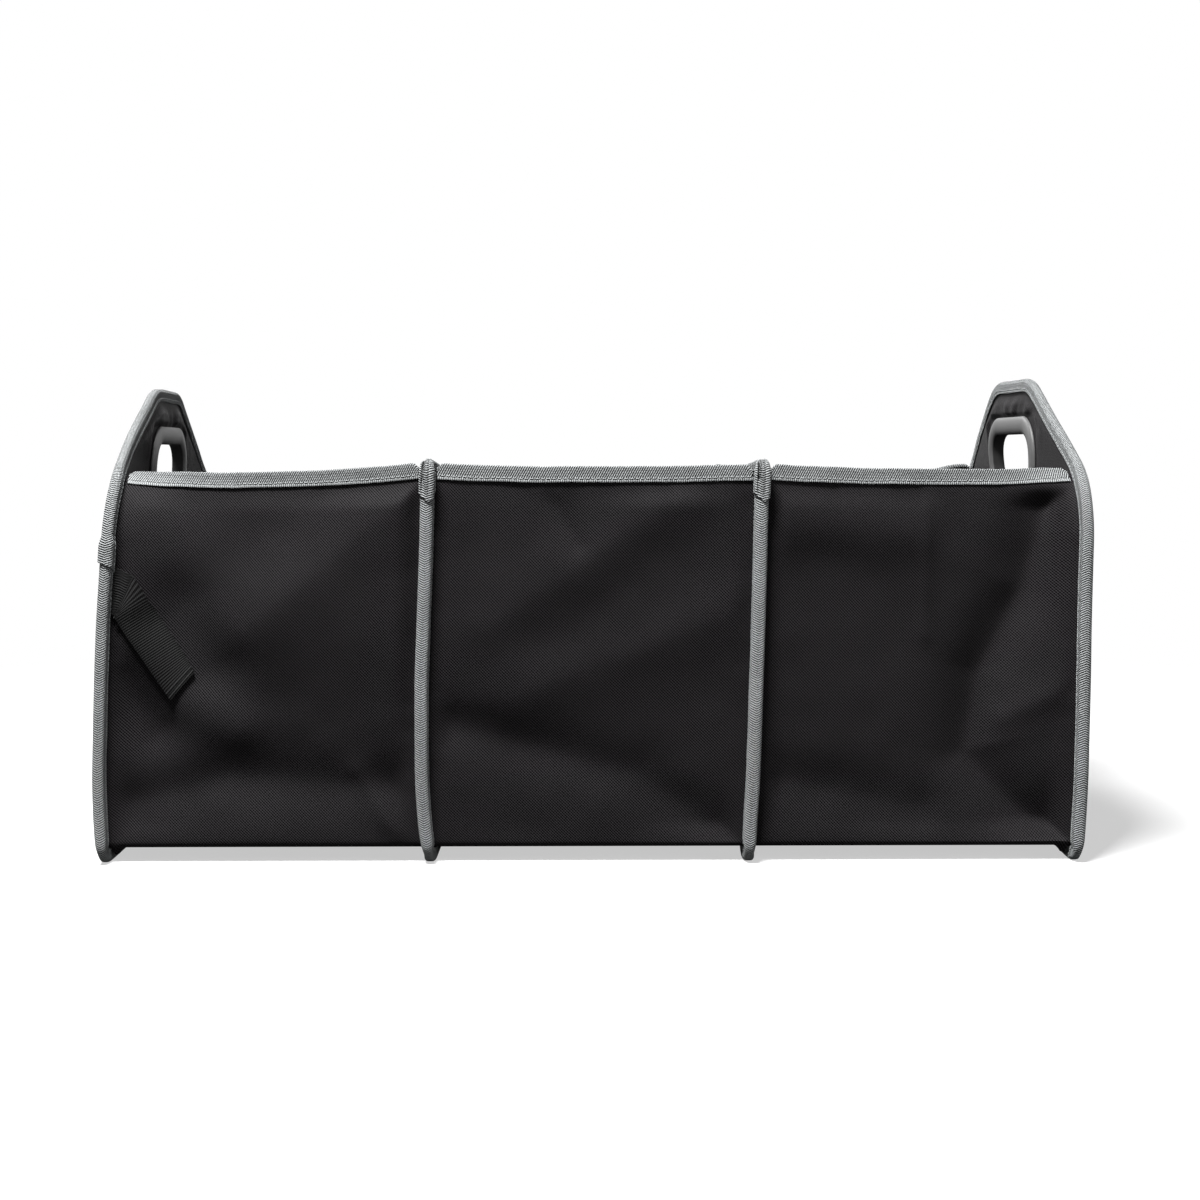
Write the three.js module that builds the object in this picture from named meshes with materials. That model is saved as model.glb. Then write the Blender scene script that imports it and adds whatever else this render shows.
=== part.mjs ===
// Car trunk organizer: a folding fabric box of three open bays, standing open.
// Two stiffened end panels with plastic handles and two stiffened dividers stand upright. Each bay is one
// strip of cloth that forms its front wall, floor and back wall, and is sewn between two panels. Grey tape
// binds each panel all round, over the seams, and each wall's top edge. A loose board lies in each bay.
//
// Millimetres. +X to the right, +Y to the back, +Z up. The origin is on the ground, under the middle.

import * as THREE from 'three';

// Overall size, opened out
const WIDTH = 600; // over the tape on the two end panels
const DEPTH = 300; // front to back, over the tape

// Sheet materials
const CLOTH = 0.6;
const TAPE = 0.8;
const PANEL_BOARD = 2.2;
const BASE_BOARD = 3.5;
const GAP = 0.3; // between plies that lie face to face

// Seams: each panel's edge stands out as a fin beyond the cloth walls and the floor
const FIN = 8.8; // how far a fin stands out
const SEAM_CLEARANCE = 0.5; // between the tape's edge and the cloth wall beside it
const TAPE_FOLD = 2.4; // outer radius of the folded tape, and how far inside it the plies end
const TAPE_TURN = 1.2; // radius of the tape's inner edge at a divider's upper corners
const FLOOR_BEND = 4; // bend of the cloth between wall and floor

// End panel outline
const END_HEIGHT = 296;
const SHOULDER_HEIGHT = 227; // where the upright and the sloping edge would meet
const SHOULDER_RADIUS = 60;
const CROWN_LENGTH = 74; // of the level top, between the corners it would have
const CROWN_RADIUS = 42;
const END_TAPE_JOINT = 195; // height of the joint where the tape's ends overlap
const END_TAPE_LAP = 12;
const END_TAPE_CLIMB = 3; // above the joint, where the upper end has come to lie outside

// Dividers
const DIVIDER_HEIGHT = 244.5;
const TOP_TAPE_DROP = 22; // how far the ends of the top tape reach down over the fins
const TOP_TAPE_LAP = 10; // of that, how far they cover the fins' own tape

// Hems on the top edges of the front and back walls
const HEM_DROP = 4.5; // from the dividers' top down to the hems'
const HEM = 9.8; // height of the tape
const HEM_SAG = 2.5; // how far a hem dips between its panels

// Handle openings in the end panels
const GRIP_LENGTH = 82;
const GRIP_HEIGHT = 34;
const GRIP_CORNER = 15;
const GRIP_DROP = 54; // from the end panel's top to the middle of the opening
const SLEEVE = 2; // wall of the handle's sleeve
const RIM = 12; // width of the handle's rim round the opening
const RIM_CROWN = 3.6; // how far the inner rim stands out of the panel
const RIM_EDGE = 1; // thickness of a rim at its outer edge
const COVER = 1.8; // how far the outer rim stands out
const COVER_BEVEL = 1.8; // width of the slope at its outer edge

// Closing strap, sewn into the left front seam and creased where it turns down across the wall
const STRAP_WIDTH = 22;
const STRAP = 1.2;
const STRAP_ROOT_HEIGHT = 164.5; // ground to the strap's middle line at the seam
const STRAP_CREASE_HEIGHT = 160.8; // and at the crease
const STRAP_CREASE_OFFSET = 8.8; // from the seam to the middle of the crease
const STRAP_CREASE_LEAN = THREE.MathUtils.degToRad(22); // off upright
const STRAP_SLOPE = THREE.MathUtils.degToRad(56); // of the tail below level
const STRAP_TAIL = 65.5; // from the middle of the crease to the cut end
const STRAP_CLEARANCE = 1.1; // off the wall, which is not flat

const BASE_BOARD_PLAY = 1.5; // between a base board's edge and the cloth

// Soft folds in the walls: lines across a wall, each lifted out of it, or pressed in, over a width. The
// points are shares of the bay's width, from the left, and of the wall's height, from the ground. Widths
// and lifts are multiples of the usual fold's.
const FOLD_WIDTH = 18;
const FOLD_LIFT = 4;
const LEFT_FOLDS = [
  { line: [[0.97, 0.91], [0.4, 0.56]], width: 1.35, lift: 1 },
  { line: [[0.03, 0.13], [0.4, 0.2], [0.94, 0.17]], width: 0.95, lift: -1.25 },
  { line: [[0.27, 0.66], [0.31, 0.48]], width: 1, lift: -1 },
  { line: [[0.06, 0.4], [0.15, 0.27]], width: 0.8, lift: -1.1 },
];
const MIDDLE_FOLDS = [
  { line: [[0.8, 0.91], [0.22, 0.6]], width: 1.1, lift: 0.75 },
  { line: [[0.98, 0.61], [0.2, 0.4]], width: 1, lift: 0.6 },
  { line: [[0.1, 0.35], [0.68, 0.24], [0.95, 0.07]], width: 0.8, lift: -1 },
];
const RIGHT_FOLDS = [
  {
    line: [[0.89, 0.94], [0.85, 0.68], [0.72, 0.45], [0.67, 0.27], [0.81, 0.13], [0.96, 0.06]],
    width: 0.95,
    lift: -1.5,
  },
  { line: [[0.1, 0.87], [0.45, 0.86]], width: 1, lift: 0.6 },
  { line: [[0.05, 0.25], [0.52, 0.17]], width: 1.1, lift: -0.75 },
];
const BACK_FOLDS = [
  { line: [[0.1, 0.9], [0.58, 0.5]], width: 1.2, lift: 0.9 },
  { line: [[0.97, 0.15], [0.52, 0.21], [0.06, 0.12]], width: 0.95, lift: -1.25 },
];
const FOLD_FADE = 16; // folds fade out this far from a seam, hem or floor
const SEAM_PULL = 7; // how quickly a wall leaves the line of its seam

// The bays from left to right
const BAYS = [
  { name: 'left_bay', frontFolds: LEFT_FOLDS },
  { name: 'middle_bay', frontFolds: MIDDLE_FOLDS },
  { name: 'right_bay', frontFolds: RIGHT_FOLDS },
];

// How finely the curved forms are cut
const ARC_STEP = THREE.MathUtils.degToRad(16);
const FLOOR_BEND_STEPS = 3;
const TAPE_FOLD_STEPS = 3;
const RIM_STEPS = 6;
const STRAP_TAIL_STEPS = 4;
const WALL_COLUMNS = 14;
const COLUMN_CROWDING = 0.55; // how much closer the columns stand near the seams
const WALL_ROWS = 9;

// Places worked out from the sizes above
const HALF_BOARD = PANEL_BOARD / 2;
const CLOTH_FACE = HALF_BOARD + GAP + CLOTH; // outer face of a panel's cloth, from the panel's middle
const SEAM_FACE = CLOTH_FACE + GAP; // where a bay's cloth lies on the panel
const SEAM_TAPE_FACE = SEAM_FACE + CLOTH + GAP + TAPE;
const PLAIN_TAPE_FACE = CLOTH_FACE + GAP + TAPE; // where no bay's cloth lies between
const TAPE_LEG = FIN - SEAM_CLEARANCE; // how far folded tape covers each side of a fin
const TAPE_STEP = TAPE + GAP; // how far one tape stands outside another
const HEM_INDENT = CLOTH + GAP + 2 * TAPE_STEP; // from a panel's cloth to the end of a hem
const HALF_SPAN = WIDTH / 2 - PLAIN_TAPE_FACE; // to the middle of an end panel
const PITCH = (2 * HALF_SPAN) / BAYS.length;
const BAY_WIDTH = PITCH - 2 * SEAM_FACE; // between the seams of one bay
const HALF_DEPTH = DEPTH / 2;
const WALL_HEIGHT = DIVIDER_HEIGHT - HEM_DROP; // ground to the top of the hems
const WALL_TOP = DIVIDER_HEIGHT - FIN; // the cloth's own top edge, inside the hem
const HEM_FOOT = WALL_HEIGHT - HEM;
const WALL_FOOT = FIN + FLOOR_BEND;
const LOWER_CORNER = FIN + FLOOR_BEND;
const DIVIDER_CORNER = TAPE_LEG + TAPE_TURN;

const black = { color: 0x1b1a1c, roughness: 0.85, metalness: 0 };
const clothMaterial = new THREE.MeshStandardMaterial({ ...black, side: THREE.DoubleSide });
const tapeMaterial = new THREE.MeshStandardMaterial({ color: 0x868a8a, roughness: 0.8, metalness: 0 });
const boardMaterial = new THREE.MeshStandardMaterial({ color: 0x9a8a70, roughness: 0.9, metalness: 0 });
const baseMaterial = new THREE.MeshStandardMaterial({ ...black, color: 0x202022 });
const plasticMaterial = new THREE.MeshStandardMaterial({ color: 0x3a3a3c, roughness: 0.45, metalness: 0 });
const webbingMaterial = new THREE.MeshStandardMaterial({ ...black, color: 0x161617 });

// A panel is drawn with x as depth and y as height. This turn carries that drawing to the organizer's
// frame: x to +Y, y to +Z and z, the panel's thickness, to +X.
const PANEL_TURN = new THREE.Quaternion().setFromAxisAngle(
  new THREE.Vector3(1, 1, 1).normalize(),
  (2 * Math.PI) / 3,
);

// Closed solids from points and triangles

function closedSolid(points, triangles) {
  const corner = (i) => points[i];
  const volume = triangles.reduce((sum, [a, b, c]) => {
    const side = new THREE.Vector3().crossVectors(corner(b), corner(c));
    return sum + corner(a).dot(side);
  }, 0);
  const order = volume > 0 ? triangles : triangles.map(([a, b, c]) => [a, c, b]);
  const geometry = new THREE.BufferGeometry();
  geometry.setAttribute(
    'position',
    new THREE.Float32BufferAttribute(points.flatMap((p) => p.toArray()), 3),
  );
  geometry.setIndex(order.flat());
  return geometry;
}

// Rows of points, each row a closed ring. Neighbouring rows are joined, and the last row to the first.
function ringSolid(rows) {
  const size = rows[0].length;
  const triangles = [];
  rows.forEach((_, row) => {
    const next = (row + 1) % rows.length;
    for (let k = 0; k < size; k += 1) {
      const l = (k + 1) % size;
      triangles.push([row * size + k, next * size + k, next * size + l]);
      triangles.push([row * size + k, next * size + l, row * size + l]);
    }
  });
  return closedSolid(rows.flat(), triangles);
}

// A sheet with thickness: rows of pairs, one point on each face. Each four-cornered cell is split by the
// diagonal that falls to the right, so that plies lying together bend along the same lines.
function sheetSolid(rows) {
  const points = rows.flat(2);
  const size = rows[0].length;
  const last = rows.length - 1;
  const at = (row, k, face) => 2 * (row * size + k) + face;
  const halves = ([p, q, r, s], alongPR) => (alongPR ? [[p, q, r], [p, r, s]] : [[p, q, s], [q, r, s]]);
  const triangles = [];
  for (let row = 0; row < last; row += 1) {
    for (let k = 0; k < size - 1; k += 1) {
      const cell = (face) => [[row, k], [row + 1, k], [row + 1, k + 1], [row, k + 1]].map(
        ([i, j]) => at(i, j, face),
      );
      const [p, , r] = cell(0).map((i) => points[i]);
      const fallsRight = (r.x - p.x) * (r.z - p.z) < 0;
      const farFace = halves(cell(1), fallsRight).map(([a, b, c]) => [a, c, b]);
      triangles.push(...halves(cell(0), fallsRight), ...farFace);
    }
    triangles.push(
      ...halves([at(row + 1, 0, 0), at(row, 0, 0), at(row, 0, 1), at(row + 1, 0, 1)], true),
      ...halves(
        [at(row, size - 1, 0), at(row + 1, size - 1, 0), at(row + 1, size - 1, 1), at(row, size - 1, 1)],
        true,
      ),
    );
  }
  for (let k = 0; k < size - 1; k += 1) {
    triangles.push(
      ...halves([at(0, k, 0), at(0, k + 1, 0), at(0, k + 1, 1), at(0, k, 1)], true),
      ...halves([at(last, k + 1, 0), at(last, k, 0), at(last, k, 1), at(last, k + 1, 1)], true),
    );
  }
  return closedSolid(points, triangles);
}

// Outlines with rounded corners. Each corner is [x, y, radius], anticlockwise.

function roundedCorners(corners) {
  return corners.map(([x, y, radius], i) => {
    const [px, py] = corners[(i + corners.length - 1) % corners.length];
    const [qx, qy] = corners[(i + 1) % corners.length];
    const before = new THREE.Vector2(y - py, px - x).normalize();
    const after = new THREE.Vector2(qy - y, x - qx).normalize();
    const start = before.angle();
    const turn = (after.angle() - start + 2 * Math.PI) % (2 * Math.PI);
    const middle = before.clone().add(after).multiplyScalar(radius / (1 + before.dot(after)));
    return { x: x - middle.x, y: y - middle.y, radius, start, turn };
  });
}

// Each station is a place on the outline with its outward direction.
function stationsOf(arcs) {
  return arcs.flatMap((arc) => {
    const steps = Math.ceil(arc.turn / ARC_STEP);
    return Array.from({ length: steps + 1 }, (_, i) => ({
      ...arc,
      angle: arc.start + (arc.turn * i) / steps,
    }));
  });
}

function outlinePoint(station, inset, z = 0) {
  const reach = station.radius - inset;
  return new THREE.Vector3(
    station.x + reach * Math.cos(station.angle),
    station.y + reach * Math.sin(station.angle),
    z,
  );
}

// A station on a straight upright edge. side is -1 for the front edge and 1 for the back.
function uprightStation(side, height) {
  return { x: side * HALF_DEPTH, y: height, radius: 0, angle: side < 0 ? Math.PI : 0 };
}

// section is a closed polygon of [inset from the outline, z].
function sweptRound(arcs, section) {
  return ringSolid(stationsOf(arcs).map((s) => section.map(([inset, z]) => outlinePoint(s, inset, z))));
}

function plate(arcs, inset, thickness, holeArcs, holeInset) {
  const flat = (outline, by) => stationsOf(outline).map((s) => {
    const p = outlinePoint(s, by);
    return new THREE.Vector2(p.x, p.y);
  });
  const shape = new THREE.Shape(flat(arcs, inset));
  if (holeArcs) shape.holes.push(new THREE.Path(flat(holeArcs, holeInset).reverse()));
  return new THREE.ExtrudeGeometry(shape, { depth: thickness, bevelEnabled: false });
}

const endOutline = roundedCorners([
  [-HALF_DEPTH, 0, LOWER_CORNER],
  [HALF_DEPTH, 0, LOWER_CORNER],
  [HALF_DEPTH, SHOULDER_HEIGHT, SHOULDER_RADIUS],
  [CROWN_LENGTH / 2, END_HEIGHT, CROWN_RADIUS],
  [-CROWN_LENGTH / 2, END_HEIGHT, CROWN_RADIUS],
  [-HALF_DEPTH, SHOULDER_HEIGHT, SHOULDER_RADIUS],
]);
const endShoulder = endOutline[2];

const dividerOutline = roundedCorners([
  [-HALF_DEPTH, 0, LOWER_CORNER],
  [HALF_DEPTH, 0, LOWER_CORNER],
  [HALF_DEPTH, DIVIDER_HEIGHT, DIVIDER_CORNER],
  [-HALF_DEPTH, DIVIDER_HEIGHT, DIVIDER_CORNER],
]);

const gripFoot = END_HEIGHT - GRIP_DROP - GRIP_HEIGHT / 2;
const gripOutline = roundedCorners([
  [-GRIP_LENGTH / 2, gripFoot, GRIP_CORNER],
  [GRIP_LENGTH / 2, gripFoot, GRIP_CORNER],
  [GRIP_LENGTH / 2, gripFoot + GRIP_HEIGHT, GRIP_CORNER],
  [-GRIP_LENGTH / 2, gripFoot + GRIP_HEIGHT, GRIP_CORNER],
]);

// Tape folded over an edge, from one face to the other, along stations in order. over is how far it lies
// outside another tape there, 0 or 1, and thin is 1 where no bay's cloth lies under it.
function foldedTape(stations, nearFace, farFace) {
  const quarter = Array.from(
    { length: TAPE_FOLD_STEPS + 1 },
    (_, i) => (i / TAPE_FOLD_STEPS) * (Math.PI / 2),
  );
  const rows = stations.map((station) => {
    const { over = 0, thin = 0 } = station;
    const half = (face) => face + over * TAPE_STEP - thin * (SEAM_TAPE_FACE - PLAIN_TAPE_FACE);
    const at = (inset, z) => outlinePoint(station, inset - over * TAPE_STEP, z);
    const bend = (face, side) => quarter.map((a) => [TAPE_FOLD, TAPE_FOLD - TAPE].map((radius) => at(
      TAPE_FOLD - radius * Math.sin(a),
      side * (half(face) - TAPE_FOLD + radius * Math.cos(a)),
    )));
    const leg = (face, side) => [at(TAPE_LEG, side * half(face)), at(TAPE_LEG, side * (half(face) - TAPE))];
    return [leg(nearFace, -1), ...bend(nearFace, -1), ...bend(farFace, 1).reverse(), leg(farFace, 1)];
  });
  return sheetSolid(rows);
}

// Cloth walls. A wall's seam follows the edge of the panel it is sewn to, a fin's width inside it.

// How far the seam lies behind the front of the organizer at a height, and the panel edge's outward
// direction there. A divider has no shoulder at the height of the walls.
function seamAt(height, shoulder) {
  if (!shoulder || height <= shoulder.y) return { back: FIN, lean: 0 };
  const reach = shoulder.radius - FIN;
  const slope = shoulder.start + shoulder.turn;
  const lean = Math.min(Math.asin(Math.min(1, (height - shoulder.y) / reach)), slope);
  const onArc = HALF_DEPTH - shoulder.x - reach * Math.cos(lean);
  const above = height - (shoulder.y + reach * Math.sin(lean));
  return { back: onArc + above * Math.tan(lean), lean };
}

function distanceToLine(line, a, height) {
  const here = new THREE.Vector3(a, height, 0);
  const near = new THREE.Vector3();
  const places = line.map(([across, up]) => new THREE.Vector3(across * BAY_WIDTH, up * WALL_HEIGHT, 0));
  return Math.min(...places.slice(1).map((end, i) => {
    const piece = new THREE.Line3(places[i], end);
    return piece.closestPointToPoint(here, true, near).distanceTo(here);
  }));
}

function foldLift(folds, a, height) {
  const edge = Math.min(a, BAY_WIDTH - a, height - FIN, HEM_FOOT - height);
  const fade = THREE.MathUtils.smoothstep(edge, 0, FOLD_FADE);
  if (fade === 0) return 0;
  return fade * FOLD_LIFT * folds.reduce((sum, f) => {
    const away = distanceToLine(f.line, a, height) / (f.width * FOLD_WIDTH);
    return sum + f.lift * Math.exp(-(away ** 2));
  }, 0);
}

// A point on a wall's outer face with its outward direction, in depth and height. side is -1 for the front
// wall and 1 for the back.
function wallPoint(bay, side, a, height) {
  const share = a / BAY_WIDTH;
  const rise = (height - WALL_FOOT) / (WALL_TOP - WALL_FOOT);
  const ends = [bay.leftShoulder, bay.rightShoulder].map((shoulder) => {
    const straight = FIN + (seamAt(WALL_TOP, shoulder).back - FIN) * Math.max(0, rise);
    return { straight, ...seamAt(height, shoulder) };
  });
  const pull = [(1 - share) ** SEAM_PULL, share ** SEAM_PULL];
  const sheet = ends[0].straight * (1 - share) + ends[1].straight * share;
  const back = ends.reduce((sum, e, i) => sum + (e.back - e.straight) * pull[i], sheet);
  const lean = ends[0].lean * pull[0] + ends[1].lean * pull[1];
  const lift = foldLift(side < 0 ? bay.frontFolds : BACK_FOLDS, a, height);
  const sag = HEM_SAG * 4 * share * (1 - share) * Math.max(0, rise);
  return {
    x: bay.left + a,
    y: side * (HALF_DEPTH - back + lift),
    z: height - sag,
    outY: side * Math.cos(lean),
    outZ: Math.sin(lean),
  };
}

// A point moved out of the wall and, if asked, up along it.
function offWall(p, out, up = 0) {
  const y = p.y + p.outY * out - Math.sign(p.outY) * p.outZ * up;
  const z = p.z + p.outZ * out + Math.abs(p.outY) * up;
  return new THREE.Vector3(p.x, y, z);
}

// Columns across a wall stand closer together near the seams.
const columns = Array.from({ length: WALL_COLUMNS + 1 }, (_, i) => {
  const share = i / WALL_COLUMNS;
  return BAY_WIDTH * (share - (COLUMN_CROWDING * Math.sin(2 * Math.PI * share)) / (2 * Math.PI));
});
const wallHeights = [
  WALL_TOP,
  ...Array.from({ length: WALL_ROWS }, (_, i) => HEM_FOOT - ((HEM_FOOT - WALL_FOOT) * i) / (WALL_ROWS - 1)),
];

// The path of a bay's cloth at one column, from the top of the front wall round the floor to the back.
function bayPath(bay, a) {
  const wall = (side) => wallHeights.map((height) => wallPoint(bay, side, a, height));
  const bend = (side) => Array.from({ length: FLOOR_BEND_STEPS - 1 }, (_, i) => {
    const turn = ((i + 1) / FLOOR_BEND_STEPS) * (Math.PI / 2);
    return {
      x: bay.left + a,
      y: side * (HALF_DEPTH - WALL_FOOT + FLOOR_BEND * Math.cos(turn)),
      z: WALL_FOOT - FLOOR_BEND * Math.sin(turn),
      outY: side * Math.cos(turn),
      outZ: -Math.sin(turn),
    };
  });
  const floor = (side) => ({
    x: bay.left + a,
    y: side * (HALF_DEPTH - WALL_FOOT),
    z: FIN,
    outY: 0,
    outZ: -1,
  });
  return [...wall(-1), ...bend(-1), floor(-1), floor(1), ...bend(1).reverse(), ...wall(1).reverse()];
}

// One strip of cloth: front wall, floor and back wall, with its sides turned out along the panels.
function bayCloth(bay) {
  const flange = FIN - TAPE_FOLD;
  const paths = columns.map((a) => bayPath(bay, a));
  const last = columns.length - 1;
  const at = (column, row, across, out) => {
    const p = offWall(paths[column][row], out);
    p.x += across;
    return p;
  };
  const rows = paths[0].map((_, row) => [
    [at(0, row, 0, flange), at(0, row, CLOTH, flange)],
    [at(0, row, 0, -CLOTH), at(0, row, CLOTH, 0)],
    ...columns.slice(1, -1).map((__, c) => [at(c + 1, row, 0, -CLOTH), at(c + 1, row, 0, 0)]),
    [at(last, row, 0, -CLOTH), at(last, row, -CLOTH, 0)],
    [at(last, row, 0, flange), at(last, row, -CLOTH, flange)],
  ]);
  return sheetSolid(rows);
}

// Tape folded over the top edge of a wall.
function hem(bay, side) {
  const places = columns.map((a) => THREE.MathUtils.clamp(a, HEM_INDENT, BAY_WIDTH - HEM_INDENT));
  const outer = GAP + TAPE;
  const inner = -CLOTH - GAP - TAPE;
  const middle = (outer + inner) / 2;
  const fold = WALL_HEIGHT - WALL_TOP;
  const rows = places.map((a) => {
    const top = wallPoint(bay, side, a, WALL_TOP);
    const foot = wallPoint(bay, side, a, HEM_FOOT);
    return [
      [offWall(foot, outer), offWall(foot, outer - TAPE)],
      [offWall(top, outer), offWall(top, outer - TAPE)],
      [offWall(top, outer, fold - TAPE), offWall(top, outer - TAPE, fold - 2 * TAPE)],
      [offWall(top, middle, fold), offWall(top, middle, fold - TAPE)],
      [offWall(top, inner, fold - TAPE), offWall(top, inner + TAPE, fold - 2 * TAPE)],
      [offWall(top, inner), offWall(top, inner + TAPE)],
      [offWall(foot, inner), offWall(foot, inner + TAPE)],
    ];
  });
  return sheetSolid(rows);
}

function baseBoard(bay) {
  const geometry = new THREE.BoxGeometry(
    BAY_WIDTH - 2 * (CLOTH + BASE_BOARD_PLAY),
    DEPTH - 2 * (WALL_FOOT + BASE_BOARD_PLAY),
    BASE_BOARD,
  );
  geometry.translate(bay.left + BAY_WIDTH / 2, 0, FIN + CLOTH + GAP + BASE_BOARD / 2);
  return geometry;
}

// Webbing that leaves the left front seam, is creased and turns down across the wall. It is given by lines
// across it, from the seam to the cut end, each with its middle, its half length and its lean off upright.
function closingStrap(bay) {
  const creaseHalf = STRAP_WIDTH / 2 / Math.cos(STRAP_SLOPE - STRAP_CREASE_LEAN);
  const root = { a: CLOTH + GAP + TAPE_STEP, height: STRAP_ROOT_HEIGHT, half: creaseHalf, lean: 0 };
  const tail = Array.from({ length: STRAP_TAIL_STEPS + 1 }, (_, i) => {
    const along = (STRAP_TAIL * i) / STRAP_TAIL_STEPS;
    return {
      a: STRAP_CREASE_OFFSET + along * Math.cos(STRAP_SLOPE),
      height: STRAP_CREASE_HEIGHT - along * Math.sin(STRAP_SLOPE),
      half: i === 0 ? creaseHalf : STRAP_WIDTH / 2,
      lean: i === 0 ? STRAP_CREASE_LEAN : STRAP_SLOPE,
    };
  });
  const rows = [root, ...tail].map(({ a, height, half, lean }) => [-half, 0, half].map((along) => {
    const on = wallPoint(bay, -1, a + along * Math.sin(lean), height + along * Math.cos(lean));
    return [offWall(on, STRAP_CLEARANCE), offWall(on, STRAP_CLEARANCE + STRAP)];
  }));
  return sheetSolid(rows);
}

// Handles: an inner rim whose sleeve passes through the panel, and a cover snapped on from outside.

const COVER_FACE = -(CLOTH_FACE + GAP);

function handleInnerHalf() {
  const face = CLOTH_FACE + GAP;
  const crown = Array.from({ length: RIM_STEPS + 1 }, (_, i) => {
    const a = (i / RIM_STEPS) * Math.PI;
    const height = RIM_EDGE + (RIM_CROWN - RIM_EDGE) * Math.sin(a);
    return [-(RIM / 2) * (1 - Math.cos(a)), face + height];
  });
  return sweptRound(gripOutline, [
    [0, COVER_FACE - COVER],
    ...crown,
    [-RIM, face],
    [-SLEEVE, face],
    [-SLEEVE, COVER_FACE - COVER],
  ]);
}

function handleCover() {
  const inside = SLEEVE + GAP;
  return sweptRound(gripOutline, [
    [-inside, COVER_FACE],
    [-RIM, COVER_FACE],
    [-RIM, COVER_FACE - RIM_EDGE],
    [COVER_BEVEL - RIM, COVER_FACE - COVER],
    [-inside, COVER_FACE - COVER],
  ]);
}

// Assembly

function named(name, geometry, material) {
  const mesh = new THREE.Mesh(geometry, material);
  mesh.name = name;
  return mesh;
}

function ply(name, outline, from, thickness, material, hole) {
  const clearance = SLEEVE + GAP;
  const mesh = named(name, plate(outline, TAPE_FOLD, thickness, hole, -clearance), material);
  mesh.position.z = from;
  return mesh;
}

// The end panel's tape runs once round it and laps over its own start on the front edge.
function endTapeStations() {
  return [
    uprightStation(-1, END_TAPE_JOINT),
    ...stationsOf(endOutline),
    { ...uprightStation(-1, END_TAPE_JOINT + END_TAPE_CLIMB), over: 1 },
    { ...uprightStation(-1, END_TAPE_JOINT - END_TAPE_LAP), over: 1 },
  ];
}

function endPanel(side) {
  const panel = new THREE.Group();
  panel.add(
    ply(`${side}_end_board`, endOutline, -HALF_BOARD, PANEL_BOARD, boardMaterial, gripOutline),
    ply(`${side}_end_inner_cloth`, endOutline, HALF_BOARD + GAP, CLOTH, clothMaterial, gripOutline),
    ply(`${side}_end_outer_cloth`, endOutline, -CLOTH_FACE, CLOTH, clothMaterial, gripOutline),
    named(
      `${side}_end_binding`,
      foldedTape(endTapeStations(), PLAIN_TAPE_FACE, SEAM_TAPE_FACE),
      tapeMaterial,
    ),
    named(`${side}_handle_inner_half`, handleInnerHalf(), plasticMaterial),
    named(`${side}_handle_cover`, handleCover(), plasticMaterial),
  );
  panel.quaternion.copy(PANEL_TURN);
  return panel;
}

// One tape binds a divider's fins and foot. A second binds its top, and its ends turn down over the first.
function divider(side) {
  const finTop = DIVIDER_HEIGHT - TOP_TAPE_DROP + TOP_TAPE_LAP;
  const finStations = [
    uprightStation(-1, finTop),
    ...stationsOf(dividerOutline.slice(0, 2)),
    uprightStation(1, finTop),
  ];
  const topEnd = DIVIDER_HEIGHT - TOP_TAPE_DROP;
  const topStations = [
    { ...uprightStation(1, topEnd), over: 1 },
    ...stationsOf(dividerOutline.slice(2)).map((s) => {
      const upright = Math.abs(Math.cos(s.angle));
      return { ...s, over: upright, thin: 1 - upright };
    }),
    { ...uprightStation(-1, topEnd), over: 1 },
  ];
  const panel = new THREE.Group();
  panel.add(
    ply(`${side}_divider_board`, dividerOutline, -HALF_BOARD, PANEL_BOARD, boardMaterial),
    ply(`${side}_divider_left_cloth`, dividerOutline, -CLOTH_FACE, CLOTH, clothMaterial),
    ply(`${side}_divider_right_cloth`, dividerOutline, HALF_BOARD + GAP, CLOTH, clothMaterial),
    named(
      `${side}_divider_fin_binding`,
      foldedTape(finStations, SEAM_TAPE_FACE, SEAM_TAPE_FACE),
      tapeMaterial,
    ),
    named(
      `${side}_divider_top_binding`,
      foldedTape(topStations, SEAM_TAPE_FACE, SEAM_TAPE_FACE),
      tapeMaterial,
    ),
  );
  panel.quaternion.copy(PANEL_TURN);
  return panel;
}

const organizer = new THREE.Group();

const leftEnd = endPanel('left');
leftEnd.position.x = -HALF_SPAN;
const rightEnd = new THREE.Group();
rightEnd.add(endPanel('right'));
rightEnd.rotation.z = Math.PI;
rightEnd.position.x = HALF_SPAN;
organizer.add(leftEnd, rightEnd);

['left', 'right'].forEach((side, i) => {
  const panel = divider(side);
  panel.position.x = -HALF_SPAN + PITCH * (i + 1);
  organizer.add(panel);
});

// Only the outer seams of the outer bays follow an end panel's shoulder.
const bays = BAYS.map((bay, i) => ({
  ...bay,
  left: -HALF_SPAN + PITCH * i + SEAM_FACE,
  leftShoulder: i === 0 ? endShoulder : null,
  rightShoulder: i === BAYS.length - 1 ? endShoulder : null,
}));

bays.forEach((bay) => {
  organizer.add(
    named(`${bay.name}_cloth`, bayCloth(bay), clothMaterial),
    named(`${bay.name}_front_hem`, hem(bay, -1), tapeMaterial),
    named(`${bay.name}_back_hem`, hem(bay, 1), tapeMaterial),
    named(`${bay.name}_base_board`, baseBoard(bay), baseMaterial),
  );
});

organizer.add(named('closing_strap', closingStrap(bays[0]), webbingMaterial));

export default organizer;
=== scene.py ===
"""Car trunk organizer, dressed: cloth walls with their soft folds, grey woven tape with its stitching,
moulded hand grips, a closing strap, base boards, and the camera and light of the photograph.

Lengths are written in millimetres, in the part's own frame, and become metres in the meshes.
"""

from math import atan2, ceil, cos, pi, radians, sin

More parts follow.
